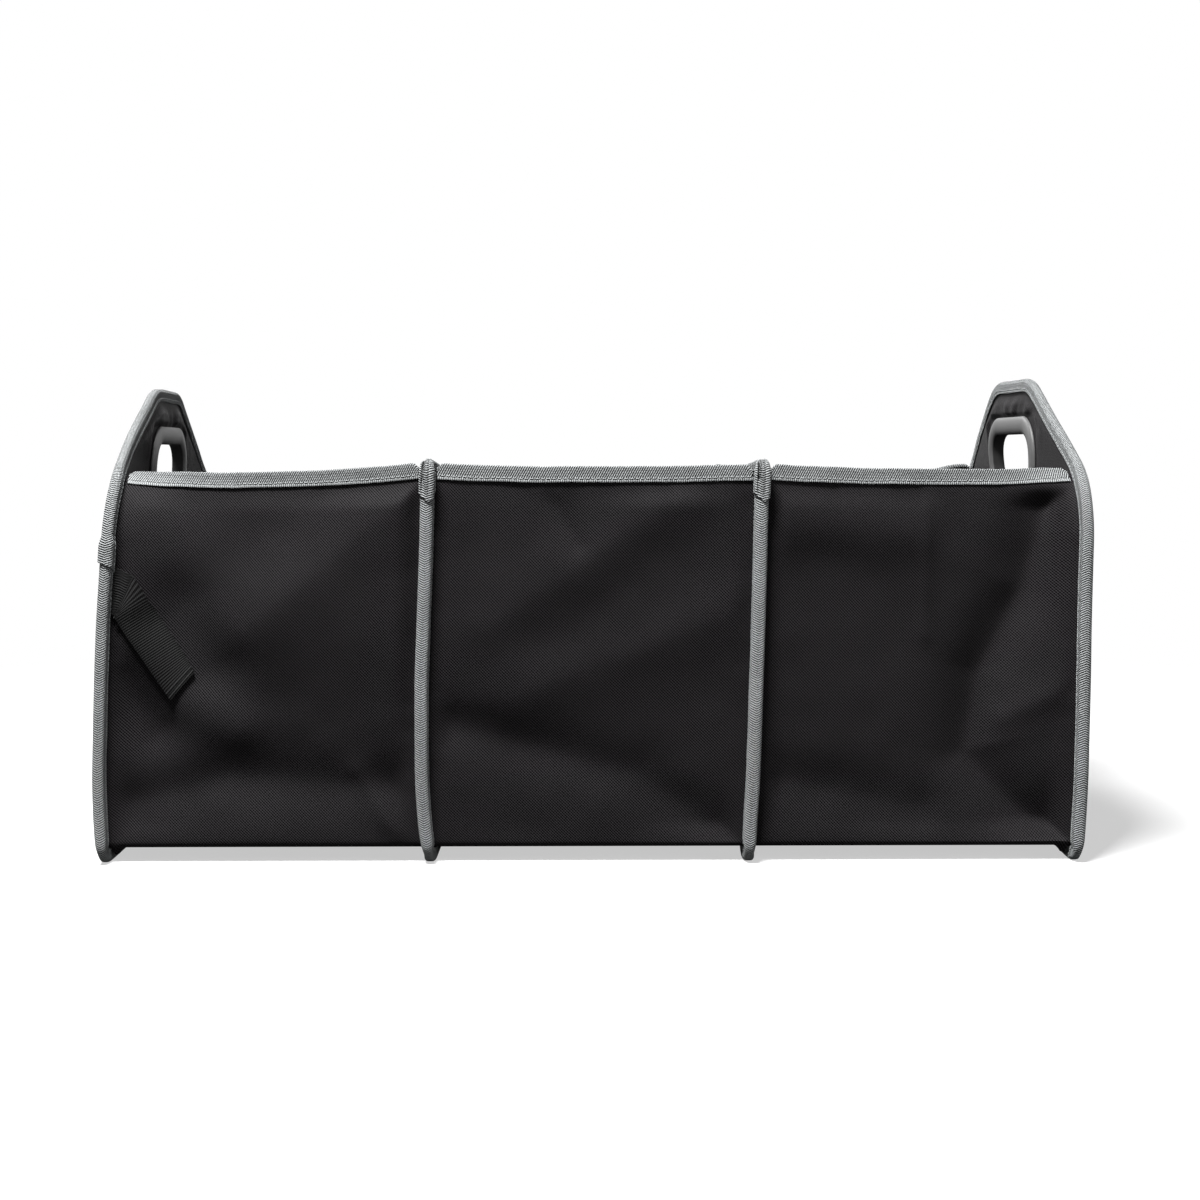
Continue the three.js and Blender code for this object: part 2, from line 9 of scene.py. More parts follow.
import bpy
import numpy as np
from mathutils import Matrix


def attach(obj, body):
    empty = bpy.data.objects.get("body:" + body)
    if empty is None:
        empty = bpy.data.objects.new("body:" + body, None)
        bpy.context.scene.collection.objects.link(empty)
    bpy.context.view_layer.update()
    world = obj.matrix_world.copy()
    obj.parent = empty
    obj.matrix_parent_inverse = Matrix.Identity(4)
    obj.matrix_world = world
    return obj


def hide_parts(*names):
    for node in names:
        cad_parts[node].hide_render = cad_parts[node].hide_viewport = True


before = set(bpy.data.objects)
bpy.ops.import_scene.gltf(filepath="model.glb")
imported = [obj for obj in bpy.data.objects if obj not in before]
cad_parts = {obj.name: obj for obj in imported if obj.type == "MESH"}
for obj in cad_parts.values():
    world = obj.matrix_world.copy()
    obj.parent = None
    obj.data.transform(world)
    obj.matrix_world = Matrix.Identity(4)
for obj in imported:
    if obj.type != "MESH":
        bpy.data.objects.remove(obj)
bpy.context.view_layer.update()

MM = 0.001

# Camera and the photograph's framing


def add_camera():
    data = bpy.data.cameras.new("camera")
    data.sensor_width = 36
    data.lens = 50.07
    data.shift_y = -0.1194
    camera = bpy.data.objects.new("camera", data)
    camera.location = (-0.0079, -1.1548, 0.2461)
    camera.rotation_euler = (pi / 2, 0, -0.0117)
    bpy.context.collection.objects.link(camera)
    bpy.context.scene.camera = camera


add_camera()
bpy.context.scene.view_settings.view_transform = "Standard"

# Sizes, as in the part

DEPTH = 300
HALF_DEPTH = DEPTH / 2
CLOTH = 0.6
TAPE = 0.8
PANEL_BOARD = 2.2
BASE_BOARD = 3.5
GAP = 0.3
FIN = 8.8
TAPE_FOLD = 2.4
TAPE_LEG = 8.3
TAPE_STEP = TAPE + GAP
FLOOR_BEND = 4
END_HEIGHT = 296
DIVIDER_HEIGHT = 244.5
WALL_HEIGHT = 240
WALL_TOP = DIVIDER_HEIGHT - FIN
HEM = 9.8
HEM_FOOT = WALL_HEIGHT - HEM
WALL_FOOT = FIN + FLOOR_BEND
HALF_BOARD = PANEL_BOARD / 2
CLOTH_FACE = HALF_BOARD + GAP + CLOTH
SEAM_FACE = CLOTH_FACE + GAP
SEAM_TAPE_FACE = SEAM_FACE + CLOTH + GAP + TAPE
PLAIN_TAPE_FACE = CLOTH_FACE + GAP + TAPE
HEM_INDENT = CLOTH + GAP + 2 * TAPE_STEP
WIDTH = 600
HALF_SPAN = WIDTH / 2 - PLAIN_TAPE_FACE
PITCH = 2 * HALF_SPAN / 3
BAY_WIDTH = PITCH - 2 * SEAM_FACE
PANEL_PLACES = [-HALF_SPAN + PITCH * i for i in range(4)]
FOOT_RADIUS = WALL_FOOT
# An end panel's shoulder: its corner's height, and where its rounding starts and how far it turns
SHOULDER_HEIGHT = 227
SHOULDER_RADIUS = 60
SHOULDER_START = 193.35
SHOULDER_SLOPE = radians(58.6)
HALF_CROWN = 37
CROWN_RADIUS = 42
DIVIDER_RADIUS = 9.5
# The plies inside the tape stop short of its lower corners.
PLY_FOOT_RADIUS = 32
END_TAPE_JOINT = 195
END_TAPE_LAP = 12
TOP_TAPE_DROP = 22
TOP_TAPE_END = DIVIDER_HEIGHT - TOP_TAPE_DROP
FIN_TAPE_END = TOP_TAPE_END + 10
GRIP_MIDDLE = END_HEIGHT - 54
HALF_GRIP = 41
HALF_GRIP_HEIGHT = 17
GRIP_RADIUS = 15
SLEEVE = 2
RIM = 12
COVER = 1.8
BOARD_PLAY = 1.5
STRAP_WIDTH = 22
STRAP_TAIL = 66
STRAP_ROOT = (2.2, 165.9)
STRAP_CREASE = (10.2, 162.2)

# Numbers over a surface


def fade(value, low, high):
    """0 up to low, 1 from high, and smooth between."""
    t = np.clip((value - low) / (high - low), 0, 1)
    return t * t * (3 - 2 * t)


def ripple(u, v, size, seed):
    """Smooth uneven numbers, from -1 to 1, that change over size millimetres."""
    lattice = np.random.default_rng(seed).uniform(-1, 1, (64, 64))
    x, y = np.broadcast_arrays(np.asarray(u, float) / size, np.asarray(v, float) / size)
    i, j = np.floor(x).astype(int), np.floor(y).astype(int)
    s, t = fade(x - i, 0, 1), fade(y - j, 0, 1)
    low = lattice[i % 64, j % 64] * (1 - s) + lattice[(i + 1) % 64, j % 64] * s
    high = lattice[i % 64, (j + 1) % 64] * (1 - s) + lattice[(i + 1) % 64, (j + 1) % 64] * s
    return low * (1 - t) + high * t


def distance_to(line, a, h):
    """From each point (a, h) to a line of several straight pieces."""
    best = np.full(np.broadcast(a, h).shape, 1e9)
    for (x, y), (x2, y2) in zip(line, line[1:]):
        dx, dy = x2 - x, y2 - y
        t = np.clip(((a - x) * dx + (h - y) * dy) / (dx * dx + dy * dy), 0, 1)
        best = np.minimum(best, np.hypot(a - x - t * dx, h - y - t * dy))
    return best


# How far each panel's front edge stands out of true, to the right, at a few heights
SWAY_HEIGHTS = [0, 24, 50, 110, 146, 182, 211, 240, 290]
SWAY = [
    [1.1, -0.8, -1.8, -0.5, 0.7, 3.0, 4.6, 5.8, 3.6],
    [0.4, -3.1, -4.9, -5.2, -3.9, -2.6, -1.9, -1.6, -1.6],
    [-4.9, -4.1, -2.2, -0.2, 1.0, 2.0, 2.6, 3.6, 3.6],
    [-3.6, -1.8, -0.3, 1.2, 1.7, 2.7, 3.6, 4.4, 0.5],
]
# The same for the left and the right end panel's upper part at a few depths, and how far it rises
TWIST_DEPTHS = [-150, -100, -50, 0, 50, 100, 150]
TWIST = [[0, 1, 4, 3.2, 1.2, 0.4, -2.5], [0, 1, -0.8, -3.5, -6, -3.6, 0]]
TWIST_RISE = [-4.5, 2.6]
SINK = 4.6


def softened(value, places, levels, reach):
    """A line through a few levels, rounded over reach millimetres."""
    table = np.arange(places[0] - reach, places[-1] + reach + 1.0)
    window = np.hanning(2 * reach + 1)
    level = np.interp(np.arange(table[0] - reach, table[-1] + reach + 1), places, levels)
    return np.interp(value, table, np.convolve(level, window / window.sum(), "valid"))


def swayed(points):
    """Points moved with the panels that they stand on or between."""
    x, y, z = points.T
    leans = np.stack([softened(z, SWAY_HEIGHTS, row, 20) for row in SWAY])
    place = np.clip((x - PANEL_PLACES[0]) / PITCH, 0, 2.9999)
    left = place.astype(int)
    share = place - left
    column = np.arange(len(x))
    front = 1 - fade(y, -142, -60)
    shift = front * (leans[left, column] * (1 - share) + leans[left + 1, column] * share)
    # Behind the front wall, the dividers and the back wall sink a little between the stiff end panels.
    rise = -SINK * (1 - front) * fade(z, 60, 240) * fade(HALF_SPAN - np.abs(x), 6, 50)
    for end, twist, high in zip((PANEL_PLACES[0], PANEL_PLACES[3]), TWIST, TWIST_RISE):
        near = (1 - fade(np.abs(x - end), 12, 50)) * fade(z, 190, 262)
        shift = shift + near * softened(y, TWIST_DEPTHS, twist, 20)
        rise = rise + near * high * (1 - front)
    return np.stack([x + shift, y, z + rise], -1)


# Meshes

# A shell is a closed skin: its points, its four-cornered faces and its weave, which gives for each point
# the millimetres along the stuff, across it from its middle, and in from its nearest woven edge. The
# last number is the same all over a cut cloth, and also marks the threads, and the groove in a tape
# where shade is painted.
NO_EDGE = 9.0
THREAD_MARK = -5.0
# The groove mark makes the tape's finish paint shade into a pressed groove.
GROOVE_SHADE_MARK = 60


def run_along(line):
    """How far along a line of points each of them lies."""
    steps = np.linalg.norm(np.diff(line, axis=0), axis=1)
    return np.concatenate([[0], np.cumsum(steps)])


def units(vectors):
    return vectors / np.linalg.norm(vectors, axis=-1, keepdims=True)


def together(*columns):
    return np.stack(np.broadcast_arrays(*columns), -1)


def sheet_shell(middle, thickness, weave, ring=False):
    """A sheet with thickness about its middle surface, given as rows of points."""
    rows, columns = middle.shape[:2]
    if ring:
        around = np.concatenate([middle[-1:], middle, middle[:1]])
        along = around[2:] - around[:-2]
    else:
        along = np.gradient(middle, axis=0)
    normal = units(np.cross(along, np.gradient(middle, axis=1)))
    half = normal * (np.broadcast_to(thickness, (rows, columns)) / 2)[..., None]
    points = np.concatenate([(middle + half).reshape(-1, 3), (middle - half).reshape(-1, 3)])
    count = rows * columns
    index = np.arange(count).reshape(rows, columns)
    if ring:
        index = np.vstack([index, index[:1]])
    a, b, c, d = index[:-1, :-1], index[1:, :-1], index[1:, 1:], index[:-1, 1:]
    left, right = index[:, 0], index[:, -1]
    faces = [
        np.stack([a, b, c, d], -1),
        np.stack([a, d, c, b], -1) + count,
        np.stack([left[1:], left[:-1], left[:-1] + count, left[1:] + count], -1),
        np.stack([right[:-1], right[1:], right[1:] + count, right[:-1] + count], -1),
    ]
    if not ring:
        first, last = index[0], index[-1]
        faces.append(np.stack([first[:-1], first[1:], first[1:] + count, first[:-1] + count], -1))
        faces.append(np.stack([last[1:], last[:-1], last[:-1] + count, last[1:] + count], -1))
    weave = np.broadcast_to(weave, (rows, columns, 3)).reshape(-1, 3)
    return points, np.concatenate([f.reshape(-1, 4) for f in faces]), np.concatenate([weave, weave])


def hoop_shell(rows, weave):
    """A closed section carried once round, given as rows of points."""
    count, size = rows.shape[:2]
    index = np.arange(count * size).reshape(count, size)
    after, beside = np.roll(index, -1, 0), np.roll(index, -1, 1)
    faces = np.stack([index, after, np.roll(after, -1, 1), beside], -1).reshape(-1, 4)
    return rows.reshape(-1, 3), faces, weave


def piece(name, shells, finish):
    """One piece of the organizer from its shells."""
    starts = np.cumsum([0] + [len(points) for points, _, _ in shells[:-1]])
    points = swayed(np.concatenate([points for points, _, _ in shells])) * MM
    faces = np.concatenate([faces + start for (_, faces, _), start in zip(shells, starts)])
    weave = np.concatenate([weave for _, _, weave in shells]).astype(np.float32)
    mesh = bpy.data.meshes.new(name)
    mesh.from_pydata(points.tolist(), [], faces.tolist())
    mesh.attributes.new("weave", "FLOAT_VECTOR", "POINT").data.foreach_set("vector", weave.ravel())
    mesh.polygons.foreach_set("use_smooth", [True] * len(faces))
    mesh.update()
    mesh.set_sharp_from_angle(angle=radians(52))
    mesh.materials.append(finish)
    made = bpy.data.objects.new(name, mesh)
    bpy.context.collection.objects.link(made)
    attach(made, "root")
    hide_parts(name)
    return made


def unit(x, y):
    return np.array([x, y]) / np.hypot(x, y)


class Outline:
    """A closed edge of straight lines and arcs, anticlockwise, with its outward directions."""

    def __init__(self, corners, spacing=2.0):
        points, outs = [], []
        arcs = []
        for i, (x, y, radius) in enumerate(corners):
            px, py, _ = corners[i - 1]
            qx, qy, _ = corners[(i + 1) % len(corners)]
            before, after = unit(y - py, px - x), unit(qy - y, x - qx)
            centre = np.array([x, y]) - (before + after) * radius / (1 + before @ after)
            start = atan2(before[1], before[0])
            turn = (atan2(after[1], after[0]) - start) % (2 * pi)
            arcs.append((centre, radius, start, turn, after))
        for i, (centre, radius, start, turn, after) in enumerate(arcs):
            angles = start + turn * np.linspace(0, 1, max(6, ceil(turn * radius / spacing)) + 1)
            out = np.stack([np.cos(angles), np.sin(angles)], -1)
            points.extend(centre + radius * out)
            outs.extend(out)
            next_centre, next_radius = arcs[(i + 1) % len(arcs)][:2]
            end, goal = centre + radius * after, next_centre + next_radius * after
            steps = ceil(np.hypot(*(goal - end)) / spacing)
            points.extend(end + (goal - end) * t for t in np.linspace(0, 1, steps + 1)[1:-1])
            outs.extend([after] * (steps - 1))
        self.points, self.outs = np.array(points), np.array(outs)
        steps = np.hypot(*(np.roll(self.points, -1, 0) - self.points).T)
        self.length = steps.sum()
        self.along = np.concatenate([[0], np.cumsum(steps)[:-1]])

    def at(self, along):
        """Points on the edge and their outward directions, at these distances along it."""
        look = [
            np.interp(along % self.length, self.along, column, period=self.length)
            for column in (*self.points.T, *self.outs.T)
        ]
        return np.stack(look[:2], -1), np.stack(look[2:], -1)

    def place_of(self, side, height):
        """How far along a straight upright edge lies at a height. side is -1 for the front."""
        on = np.abs(self.points[:, 0] - side * HALF_DEPTH) < 0.01
        order = np.argsort(self.points[on, 1])
        return np.interp(height, self.points[on, 1][order], self.along[on][order])

    def reach(self, centre, inset, angles):
        """The distance from centre to the edge, moved in by inset, along each angle."""
        ring = self.points - self.outs * inset - centre
        bearing = np.arctan2(ring[:, 1], ring[:, 0])
        order = np.argsort(bearing)
        return np.interp(angles, bearing[order], np.hypot(*ring.T)[order], period=2 * pi)


def even_outline(half, spacing=2.0):
    """An outline with two like halves, from the corners of one half and their radii, from the foot up."""
    other = [(-x, y, radius) for x, y, radius in half[::-1]]
    return Outline(other[-1:] + half + other[:-1], spacing)


def end_outline(foot_radius):
    shoulder = (HALF_DEPTH, SHOULDER_HEIGHT, SHOULDER_RADIUS)
    crown = (HALF_CROWN, END_HEIGHT, CROWN_RADIUS)
    return even_outline([(HALF_DEPTH, 0, foot_radius), shoulder, crown])


def divider_outline(foot_radius):
    top = (HALF_DEPTH, DIVIDER_HEIGHT, DIVIDER_RADIUS)
    return even_outline([(HALF_DEPTH, 0, foot_radius), top])


END_EDGE = end_outline(FOOT_RADIUS)
END_PLY_EDGE = end_outline(PLY_FOOT_RADIUS)
DIVIDER_EDGE = divider_outline(FOOT_RADIUS)
DIVIDER_PLY_EDGE = divider_outline(PLY_FOOT_RADIUS)
GRIP_HEIGHTS = (GRIP_MIDDLE - HALF_GRIP_HEIGHT, GRIP_MIDDLE + HALF_GRIP_HEIGHT)
GRIP_EDGE = even_outline([(HALF_GRIP, height, GRIP_RADIUS) for height in GRIP_HEIGHTS], 0.9)


class Panel:
    """An upright panel. out is across its thickness, to the right, or to the left where it is turned."""

    def __init__(self, name, place, turned=False):
        self.name, self.place, self.turn = name, place, -1 if turned else 1

    def points(self, depth, height, out):
        return together(self.place + self.turn * out, self.turn * depth, height)


# Stitches


def stitch_shell(path, normals, pitch=3.3, length=2.3):
    """A row of stitches that lie along a path on a tape."""
    along = run_along(path)
    middles = np.arange(pitch, along[-1] - pitch / 2, pitch)
    offsets = np.array([-0.5, -0.34, 0.34, 0.5]) * length
    girths = np.array([0.1, 0.3, 0.3, 0.1])
    at = middles[:, None] + offsets
    centre = np.stack([np.interp(at, along, path[:, i]) for i in range(3)], -1)
    up = units(np.stack([np.interp(at, along, normals[:, i]) for i in range(3)], -1))
    beside = units(np.cross(np.gradient(centre, axis=1), up))
    corners = [(1, 0), (0, 1), (-1, 0), (0, -1)]
    rings = np.stack(
        [centre + girths[:, None] * (up * (0.25 + p) + beside * q * 1.1) for p, q in corners], 2
    )
    count = len(middles)
    index = np.arange(count * 16).reshape(count, 4, 4)
    around = np.roll(index, -1, 2)
    side = np.stack([index[:, :-1], around[:, :-1], around[:, 1:], index[:, 1:]], -1)
    caps = [index[:, 0, ::-1], index[:, 3]]
    faces = np.concatenate([side.reshape(-1, 4), *caps])[:, ::-1]
    weave = np.broadcast_to([0, 0, THREAD_MARK], (count * 16, 3))
    return rings.reshape(-1, 3), faces, weave


# Folded tape


def tape_profile(width):
    """Places across a tape, closer together at its woven edges, with its thickness there."""
    edge = np.array([0, 0.2, 0.5, 0.85, 1.15, 1.45, 2.1, 3.0])
    body = np.linspace(3.8, width - 3.8, 20)
    across = np.concatenate([edge, body, width - edge[::-1]])
    from_edge = np.minimum(across, width - across)
    bead = np.where(from_edge < 1.3, np.sin(pi * np.clip(from_edge / 1.3, 0.12, 1)), 0)
    return across, from_edge, TAPE - 0.1 + 0.4 * bead


def path_lookup(path, across):
    """Points on a path of several straight pieces, at these distances along it."""
    along = run_along(path)
    return np.stack([np.interp(across, along, path[:, i]) for i in range(2)], -1), along[-1]


def fold_path(near, far):
    """The middle line of tape folded over a fin: inset from the edge, and place across the fin."""
    radius = TAPE_FOLD - TAPE / 2
    turn = np.linspace(0, pi / 2, 8)

    def half(side, face):
        """From the end of one leg to the middle of the fold."""
        leg = [[TAPE_LEG, side * (face - TAPE / 2)]]
        inset = TAPE_FOLD - radius * np.sin(turn)
        place = side * (face - TAPE_FOLD + radius * np.cos(turn))
        return np.concatenate([leg, np.stack([inset, place], -1)])

    return np.concatenate([half(-1, near), half(1, far)[::-1]])


def folded_tape(panel, edge, along, faces, over, seed, tip, groove=0.0):
    """Tape folded over a panel's edge, with two rows of stitches. faces gives its two outer faces from the
    panel's middle, over how far each row lies outside another tape, tip how much longer its last end is
    at each place across, and groove how deep its fold is pressed in."""
    rows = len(along)
    over = np.broadcast_to(over, rows)
    width = path_lookup(fold_path(faces[0].mean(), faces[1].mean()), np.array([0.0]))[1]
    across, from_edge, thickness = tape_profile(width)
    near_end = 1 - fade(along[-1] - along, 0, 12)
    here = along[:, None] + near_end[:, None] * tip(across - width / 2)
    base, out = edge.at(here)
    inset, place = np.empty_like(here), np.empty_like(here)
    for i in range(rows):
        path = fold_path(faces[0][i], faces[1][i])
        full = path_lookup(path, np.array([0.0]))[1]
        look = path_lookup(path, across * full / width)[0]
        inset[i], place[i] = look[:, 0], look[:, 1]
    middle = across - width / 2
    side = np.sign(place - (faces[1] - faces[0])[:, None] / 2)
    inset = inset - over[:, None] * TAPE_STEP
    place = place + side * over[:, None] * TAPE_STEP * fade(np.abs(middle), 0.5, 2.5)
    # Round a lower corner, where no cloth fills it, the tape is pinched to a tip.
    corner = np.hypot(np.abs(base[..., 0]) - HALF_DEPTH, base[..., 1])
    place = place * (1 - 0.5 * np.exp(-((corner / 8.5) ** 2)))
    # The fold is a little full, its edges wander, and the legs are not quite flat.
    crown = 1 - fade(np.abs(middle), 0, 3.2)
    inset = inset - crown * 0.35 * (1 + ripple(here, 0, 23, seed)) * fade(base[..., 1], 1, 14)
    leg = fade(np.abs(middle), 4.5, width / 2)
    inset = inset + leg * 0.45 * ripple(here, 7.5, 17, seed + 1)
    place = place + side * leg * (0.12 * ripple(here, middle * 2, 9, seed + 2) - 0.05)
    # Stitched down beside the fold, it bulges in two rolls.
    deep = np.broadcast_to(groove, rows)[:, None]
    uneven = 1 + 0.45 * ripple(here, 0, 2.2, seed + 3)
    pressed = uneven * np.exp(-(((middle + 1.6) / 0.9) ** 2)) + 0.45 * np.exp(-(((middle - 0.7) / 0.5) ** 2))
    inset = inset + deep * (pressed - 0.2)
    depth, height = base[..., 0] - inset * out[..., 0], base[..., 1] - inset * out[..., 1]
    # In the groove the third number of the weave goes far up, which its finish shows as painted shade.
    groove_shade = GROOVE_SHADE_MARK * np.clip(deep * pressed / 2, 0, 1)
    weave = together(here, middle, from_edge + groove_shade)
    return tape_with_stitches(panel.points(depth, height, place), thickness, weave)


def tape_with_stitches(surface, thickness, weave):
    """A tape's shell, with a row of stitches inside each of its woven edges."""
    shells = [sheet_shell(surface, thickness, weave)]
    normal = units(np.cross(np.gradient(surface, axis=0), np.gradient(surface, axis=1)))
    for column in (6, -7):
        face = surface[:, column] + normal[:, column] * TAPE / 2
        shells.append(stitch_shell(face, normal[:, column]))
    return shells


# Bays

# Each fold is a line in shares of the wall's width and height, its width, its lift and how flat its
# crest is.
LEFT_FOLDS = [
    ([[0.96, 0.93], [0.44, 0.59]], 29, 6.5, 1.7),
    ([[0.02, 0.14], [0.39, 0.215], [0.92, 0.19]], 18, -5.5, 1.8),
    ([[0.23, 0.64], [0.33, 0.5]], 24, -8, 2),
    ([[0.03, 0.45], [0.15, 0.33]], 19, -8, 2),
    ([[0.1, 0.93], [0.14, 0.66]], 14, 1.6, 2),
    ([[0.3, 0.4], [0.42, 0.34]], 16, 3.5, 2),
    ([[0.8, 0.23], [0.92, 0.06]], 9, 2.4, 1.4),
    ([[0.1, 0.6], [0.9, 0.6]], 62, 6, 2),
]
MIDDLE_FOLDS = [
    ([[0.76, 0.92], [0.2, 0.6]], 23, 4.2, 1.7),
    ([[0.97, 0.64], [0.27, 0.42]], 22, 3.4, 1.7),
    ([[0.08, 0.34], [0.66, 0.22], [0.95, 0.05]], 17, -4.6, 1.8),
    ([[0.36, 0.93], [0.45, 0.8]], 9, -2.4, 1.5),
]
RIGHT_FOLDS = [
    ([[0.92, 0.94], [0.84, 0.69], [0.7, 0.47], [0.66, 0.27], [0.81, 0.14], [0.97, 0.05]], 20, -11, 1.6),
    ([[0.08, 0.86], [0.46, 0.84]], 20, 4.5, 2),
    ([[0.52, 0.92], [0.52, 0.57]], 5, 1.3, 1.3),
    ([[0.05, 0.21], [0.52, 0.13]], 18, -4, 1.7),
    ([[0.78, 0.36], [0.96, 0.44]], 11, 3, 1.5),
]
BACK_FOLDS = [
    ([[0.1, 0.9], [0.58, 0.5]], 22, 5, 1.6),
    ([[0.97, 0.15], [0.52, 0.21], [0.06, 0.12]], 17, -6, 1.6),
]


def seam_at(height, shoulder):
    """How far an outer seam lies behind the front, and the panel edge's outward direction there."""
    if not shoulder:
        return np.full_like(height, FIN), np.zeros_like(height)
    reach = SHOULDER_RADIUS - FIN
    rise = np.clip((height - SHOULDER_START) / reach, 0, 1)
    lean = np.minimum(np.arcsin(rise), SHOULDER_SLOPE)
    on_arc = SHOULDER_RADIUS - reach * np.cos(lean)
    above = np.maximum(height - (SHOULDER_START + reach * np.sin(lean)), 0)
    return np.where(rise > 0, on_arc + above * np.tan(lean), FIN), np.where(rise > 0, lean, 0)


class Bay:
    """A bay's cloth. tops are the heights of its hem at even steps along it."""

    def __init__(self, name, number, folds, tops):
        self.name, self.folds = name, folds
        self.left = PANEL_PLACES[number] + SEAM_FACE
        self.shoulders = (number == 0, number == 2)
        self.seed = 100 * (number + 1)
        self.top = np.polyfit(np.linspace(0, 1, len(tops)), np.array(tops) - WALL_HEIGHT, 3)

    def wall(self, side, a, height, out=0.0, up=0.0):
        """Points off a wall's outer face. a is from the left seam, out is away from the wall."""
        inside = np.clip(a, 0, BAY_WIDTH)
        share = inside / BAY_WIDTH
        rise = np.maximum((height - WALL_FOOT) / (WALL_TOP - WALL_FOOT), 0)
        sheet, bent, lean = 0, 0, 0
        for shoulder, pull, own in zip(
            self.shoulders, ((1 - share) ** 7, share**7), (1 - share, share)
        ):
            back, angle = seam_at(height + 0 * share, shoulder)
            top = seam_at(np.array([WALL_TOP]), shoulder)[0][0]
            straight = FIN + (top - FIN) * rise
            sheet = sheet + straight * own
            bent = bent + (back - straight) * pull
            lean = lean + angle * pull
        lift = self.lift(side, inside, height)
        level = np.polyval(self.top, share) * rise**1.5
        y = side * (HALF_DEPTH - sheet - bent + lift)
        out_y, out_z = side * np.cos(lean), np.sin(lean)
        return together(
            self.left + a,
            y + out_y * out - side * out_z * up,
            height + level + out_z * out + np.cos(lean) * up,
        )

    def lift(self, side, a, height):
        """How far the soft folds and puckers lift the cloth."""
        from_seam = np.minimum(a, BAY_WIDTH - a)
        edge = np.minimum(from_seam, np.minimum(height - FIN, HEM_FOOT - height))
        folds = self.folds if side < 0 else BACK_FOLDS
        total = 0
        for line, width, lift, power in folds:
            places = [(x * BAY_WIDTH, y * WALL_HEIGHT) for x, y in line]
            away = distance_to(places, a, height) / width
            total = total + lift * np.exp(-(away**power))
        total = total + 0.9 * ripple(a, height, 46, self.seed + side)
        total = total + 0.32 * ripple(a, height, 17, self.seed + 5 + side)
        total = total * fade(edge, 0, 16)
        # Gathers where the stitching draws the cloth in, under the hem and beside the seams
        under_hem = np.exp(-np.maximum(HEM_FOOT - height, 0) / 11) * fade(from_seam, 2, 14)
        gather = ripple(a, 3.1 + height / 40, 9, self.seed + 11 + side)
        beside_seam = np.exp(-from_seam / 7) * fade(from_seam, 0.5, 3) * fade(height, 20, 45)
        tuck = ripple(height, 1.7 + a / 30, 8, self.seed + 17 + side)
        return total + 0.55 * under_hem * gather + 0.5 * beside_seam * tuck


BAYS = [
    Bay("left_bay", 0, LEFT_FOLDS, [239.2, 238, 236.8, 237.4, 240.4, 243]),
    Bay("middle_bay", 1, MIDDLE_FOLDS, [242.4, 241.6, 240.1, 240.1, 241.4, 241.6]),
    Bay("right_bay", 2, RIGHT_FOLDS, [242, 240.6, 239.2, 238.9, 239.5, 239.8]),
]


def bay_cloth(bay, finish):
    """One strip of cloth: front wall, floor and back wall, its sides turned out along the panels."""
    flange = np.array([6.4, 4.8, 3.2, 1.8, 0.9])
    corner = [(0.38, 0.35), (0.62, 0.0), (1.0, -0.22)]
    inner = np.linspace(1.6, BAY_WIDTH - 1.6, 88)
    half = [(0.3, out) for out in flange] + corner
    section = np.array(
        half + [(a, -CLOTH / 2) for a in inner] + [(BAY_WIDTH - a, out) for a, out in half[::-1]]
    )
    a, out = section.T

    def bend(side, turns):
        t = turns[:, None]
        tuck = corner_tuck(bay, a) * (1 - np.cos(t)) if side < 0 else 0
        # The flanges draw back round the corner, where the tape is pinched.
        radius = FLOOR_BEND + np.where(out > 0, out * (1 - 0.75 * np.sin(2 * t)), out)
        y = side * (HALF_DEPTH - WALL_FOOT + radius * np.cos(t))
        z = WALL_FOOT - radius * np.sin(t) - tuck
        return together(bay.left + a, y, z)

    front = np.linspace(WALL_TOP, WALL_FOOT, 96)
    back = np.linspace(WALL_TOP, WALL_FOOT, 44)
    turns = np.linspace(0, pi / 2, 7)[1:]
    floor_y = np.linspace(-(HALF_DEPTH - WALL_FOOT), HALF_DEPTH - WALL_FOOT, 34)[1:-1][:, None]
    middle_of_floor = fade(HALF_DEPTH - np.abs(floor_y), 14, 60) * fade(
        np.minimum(a, BAY_WIDTH - a), 2, 30
    )
    floor_z = FIN - out - 0.5 * middle_of_floor * (1 + ripple(a, floor_y, 31, bay.seed + 3))
    tuck = corner_tuck(bay, a) * np.exp(-(HALF_DEPTH - WALL_FOOT + floor_y) / 9)
    floor = together(bay.left + a, floor_y, floor_z - tuck)
    front_wall = bay.wall(-1, a, front[:, None], out)
    back_wall = bay.wall(1, a, back[::-1][:, None], out)
    middle = np.concatenate([front_wall, bend(-1, turns), floor, bend(1, turns[::-1]), back_wall])
    along = run_along(middle[:, len(a) // 2])
    across = run_along(section)
    weave = together(along[:, None], across, NO_EDGE)
    made = piece(bay.name + "_cloth", [sheet_shell(middle, CLOTH, weave)], finish)


def corner_tuck(bay, a):
    """A small tuck of cloth that hangs below the floor beside an end panel, at the front."""
    total = 0 * a
    for shoulder, from_seam in zip(bay.shoulders, (a, BAY_WIDTH - a)):
        if shoulder:
            total = total + 5.2 * np.exp(-(((from_seam - 4.6) / 2.6) ** 2)) * fade(from_seam, 1.4, 3)
    return total


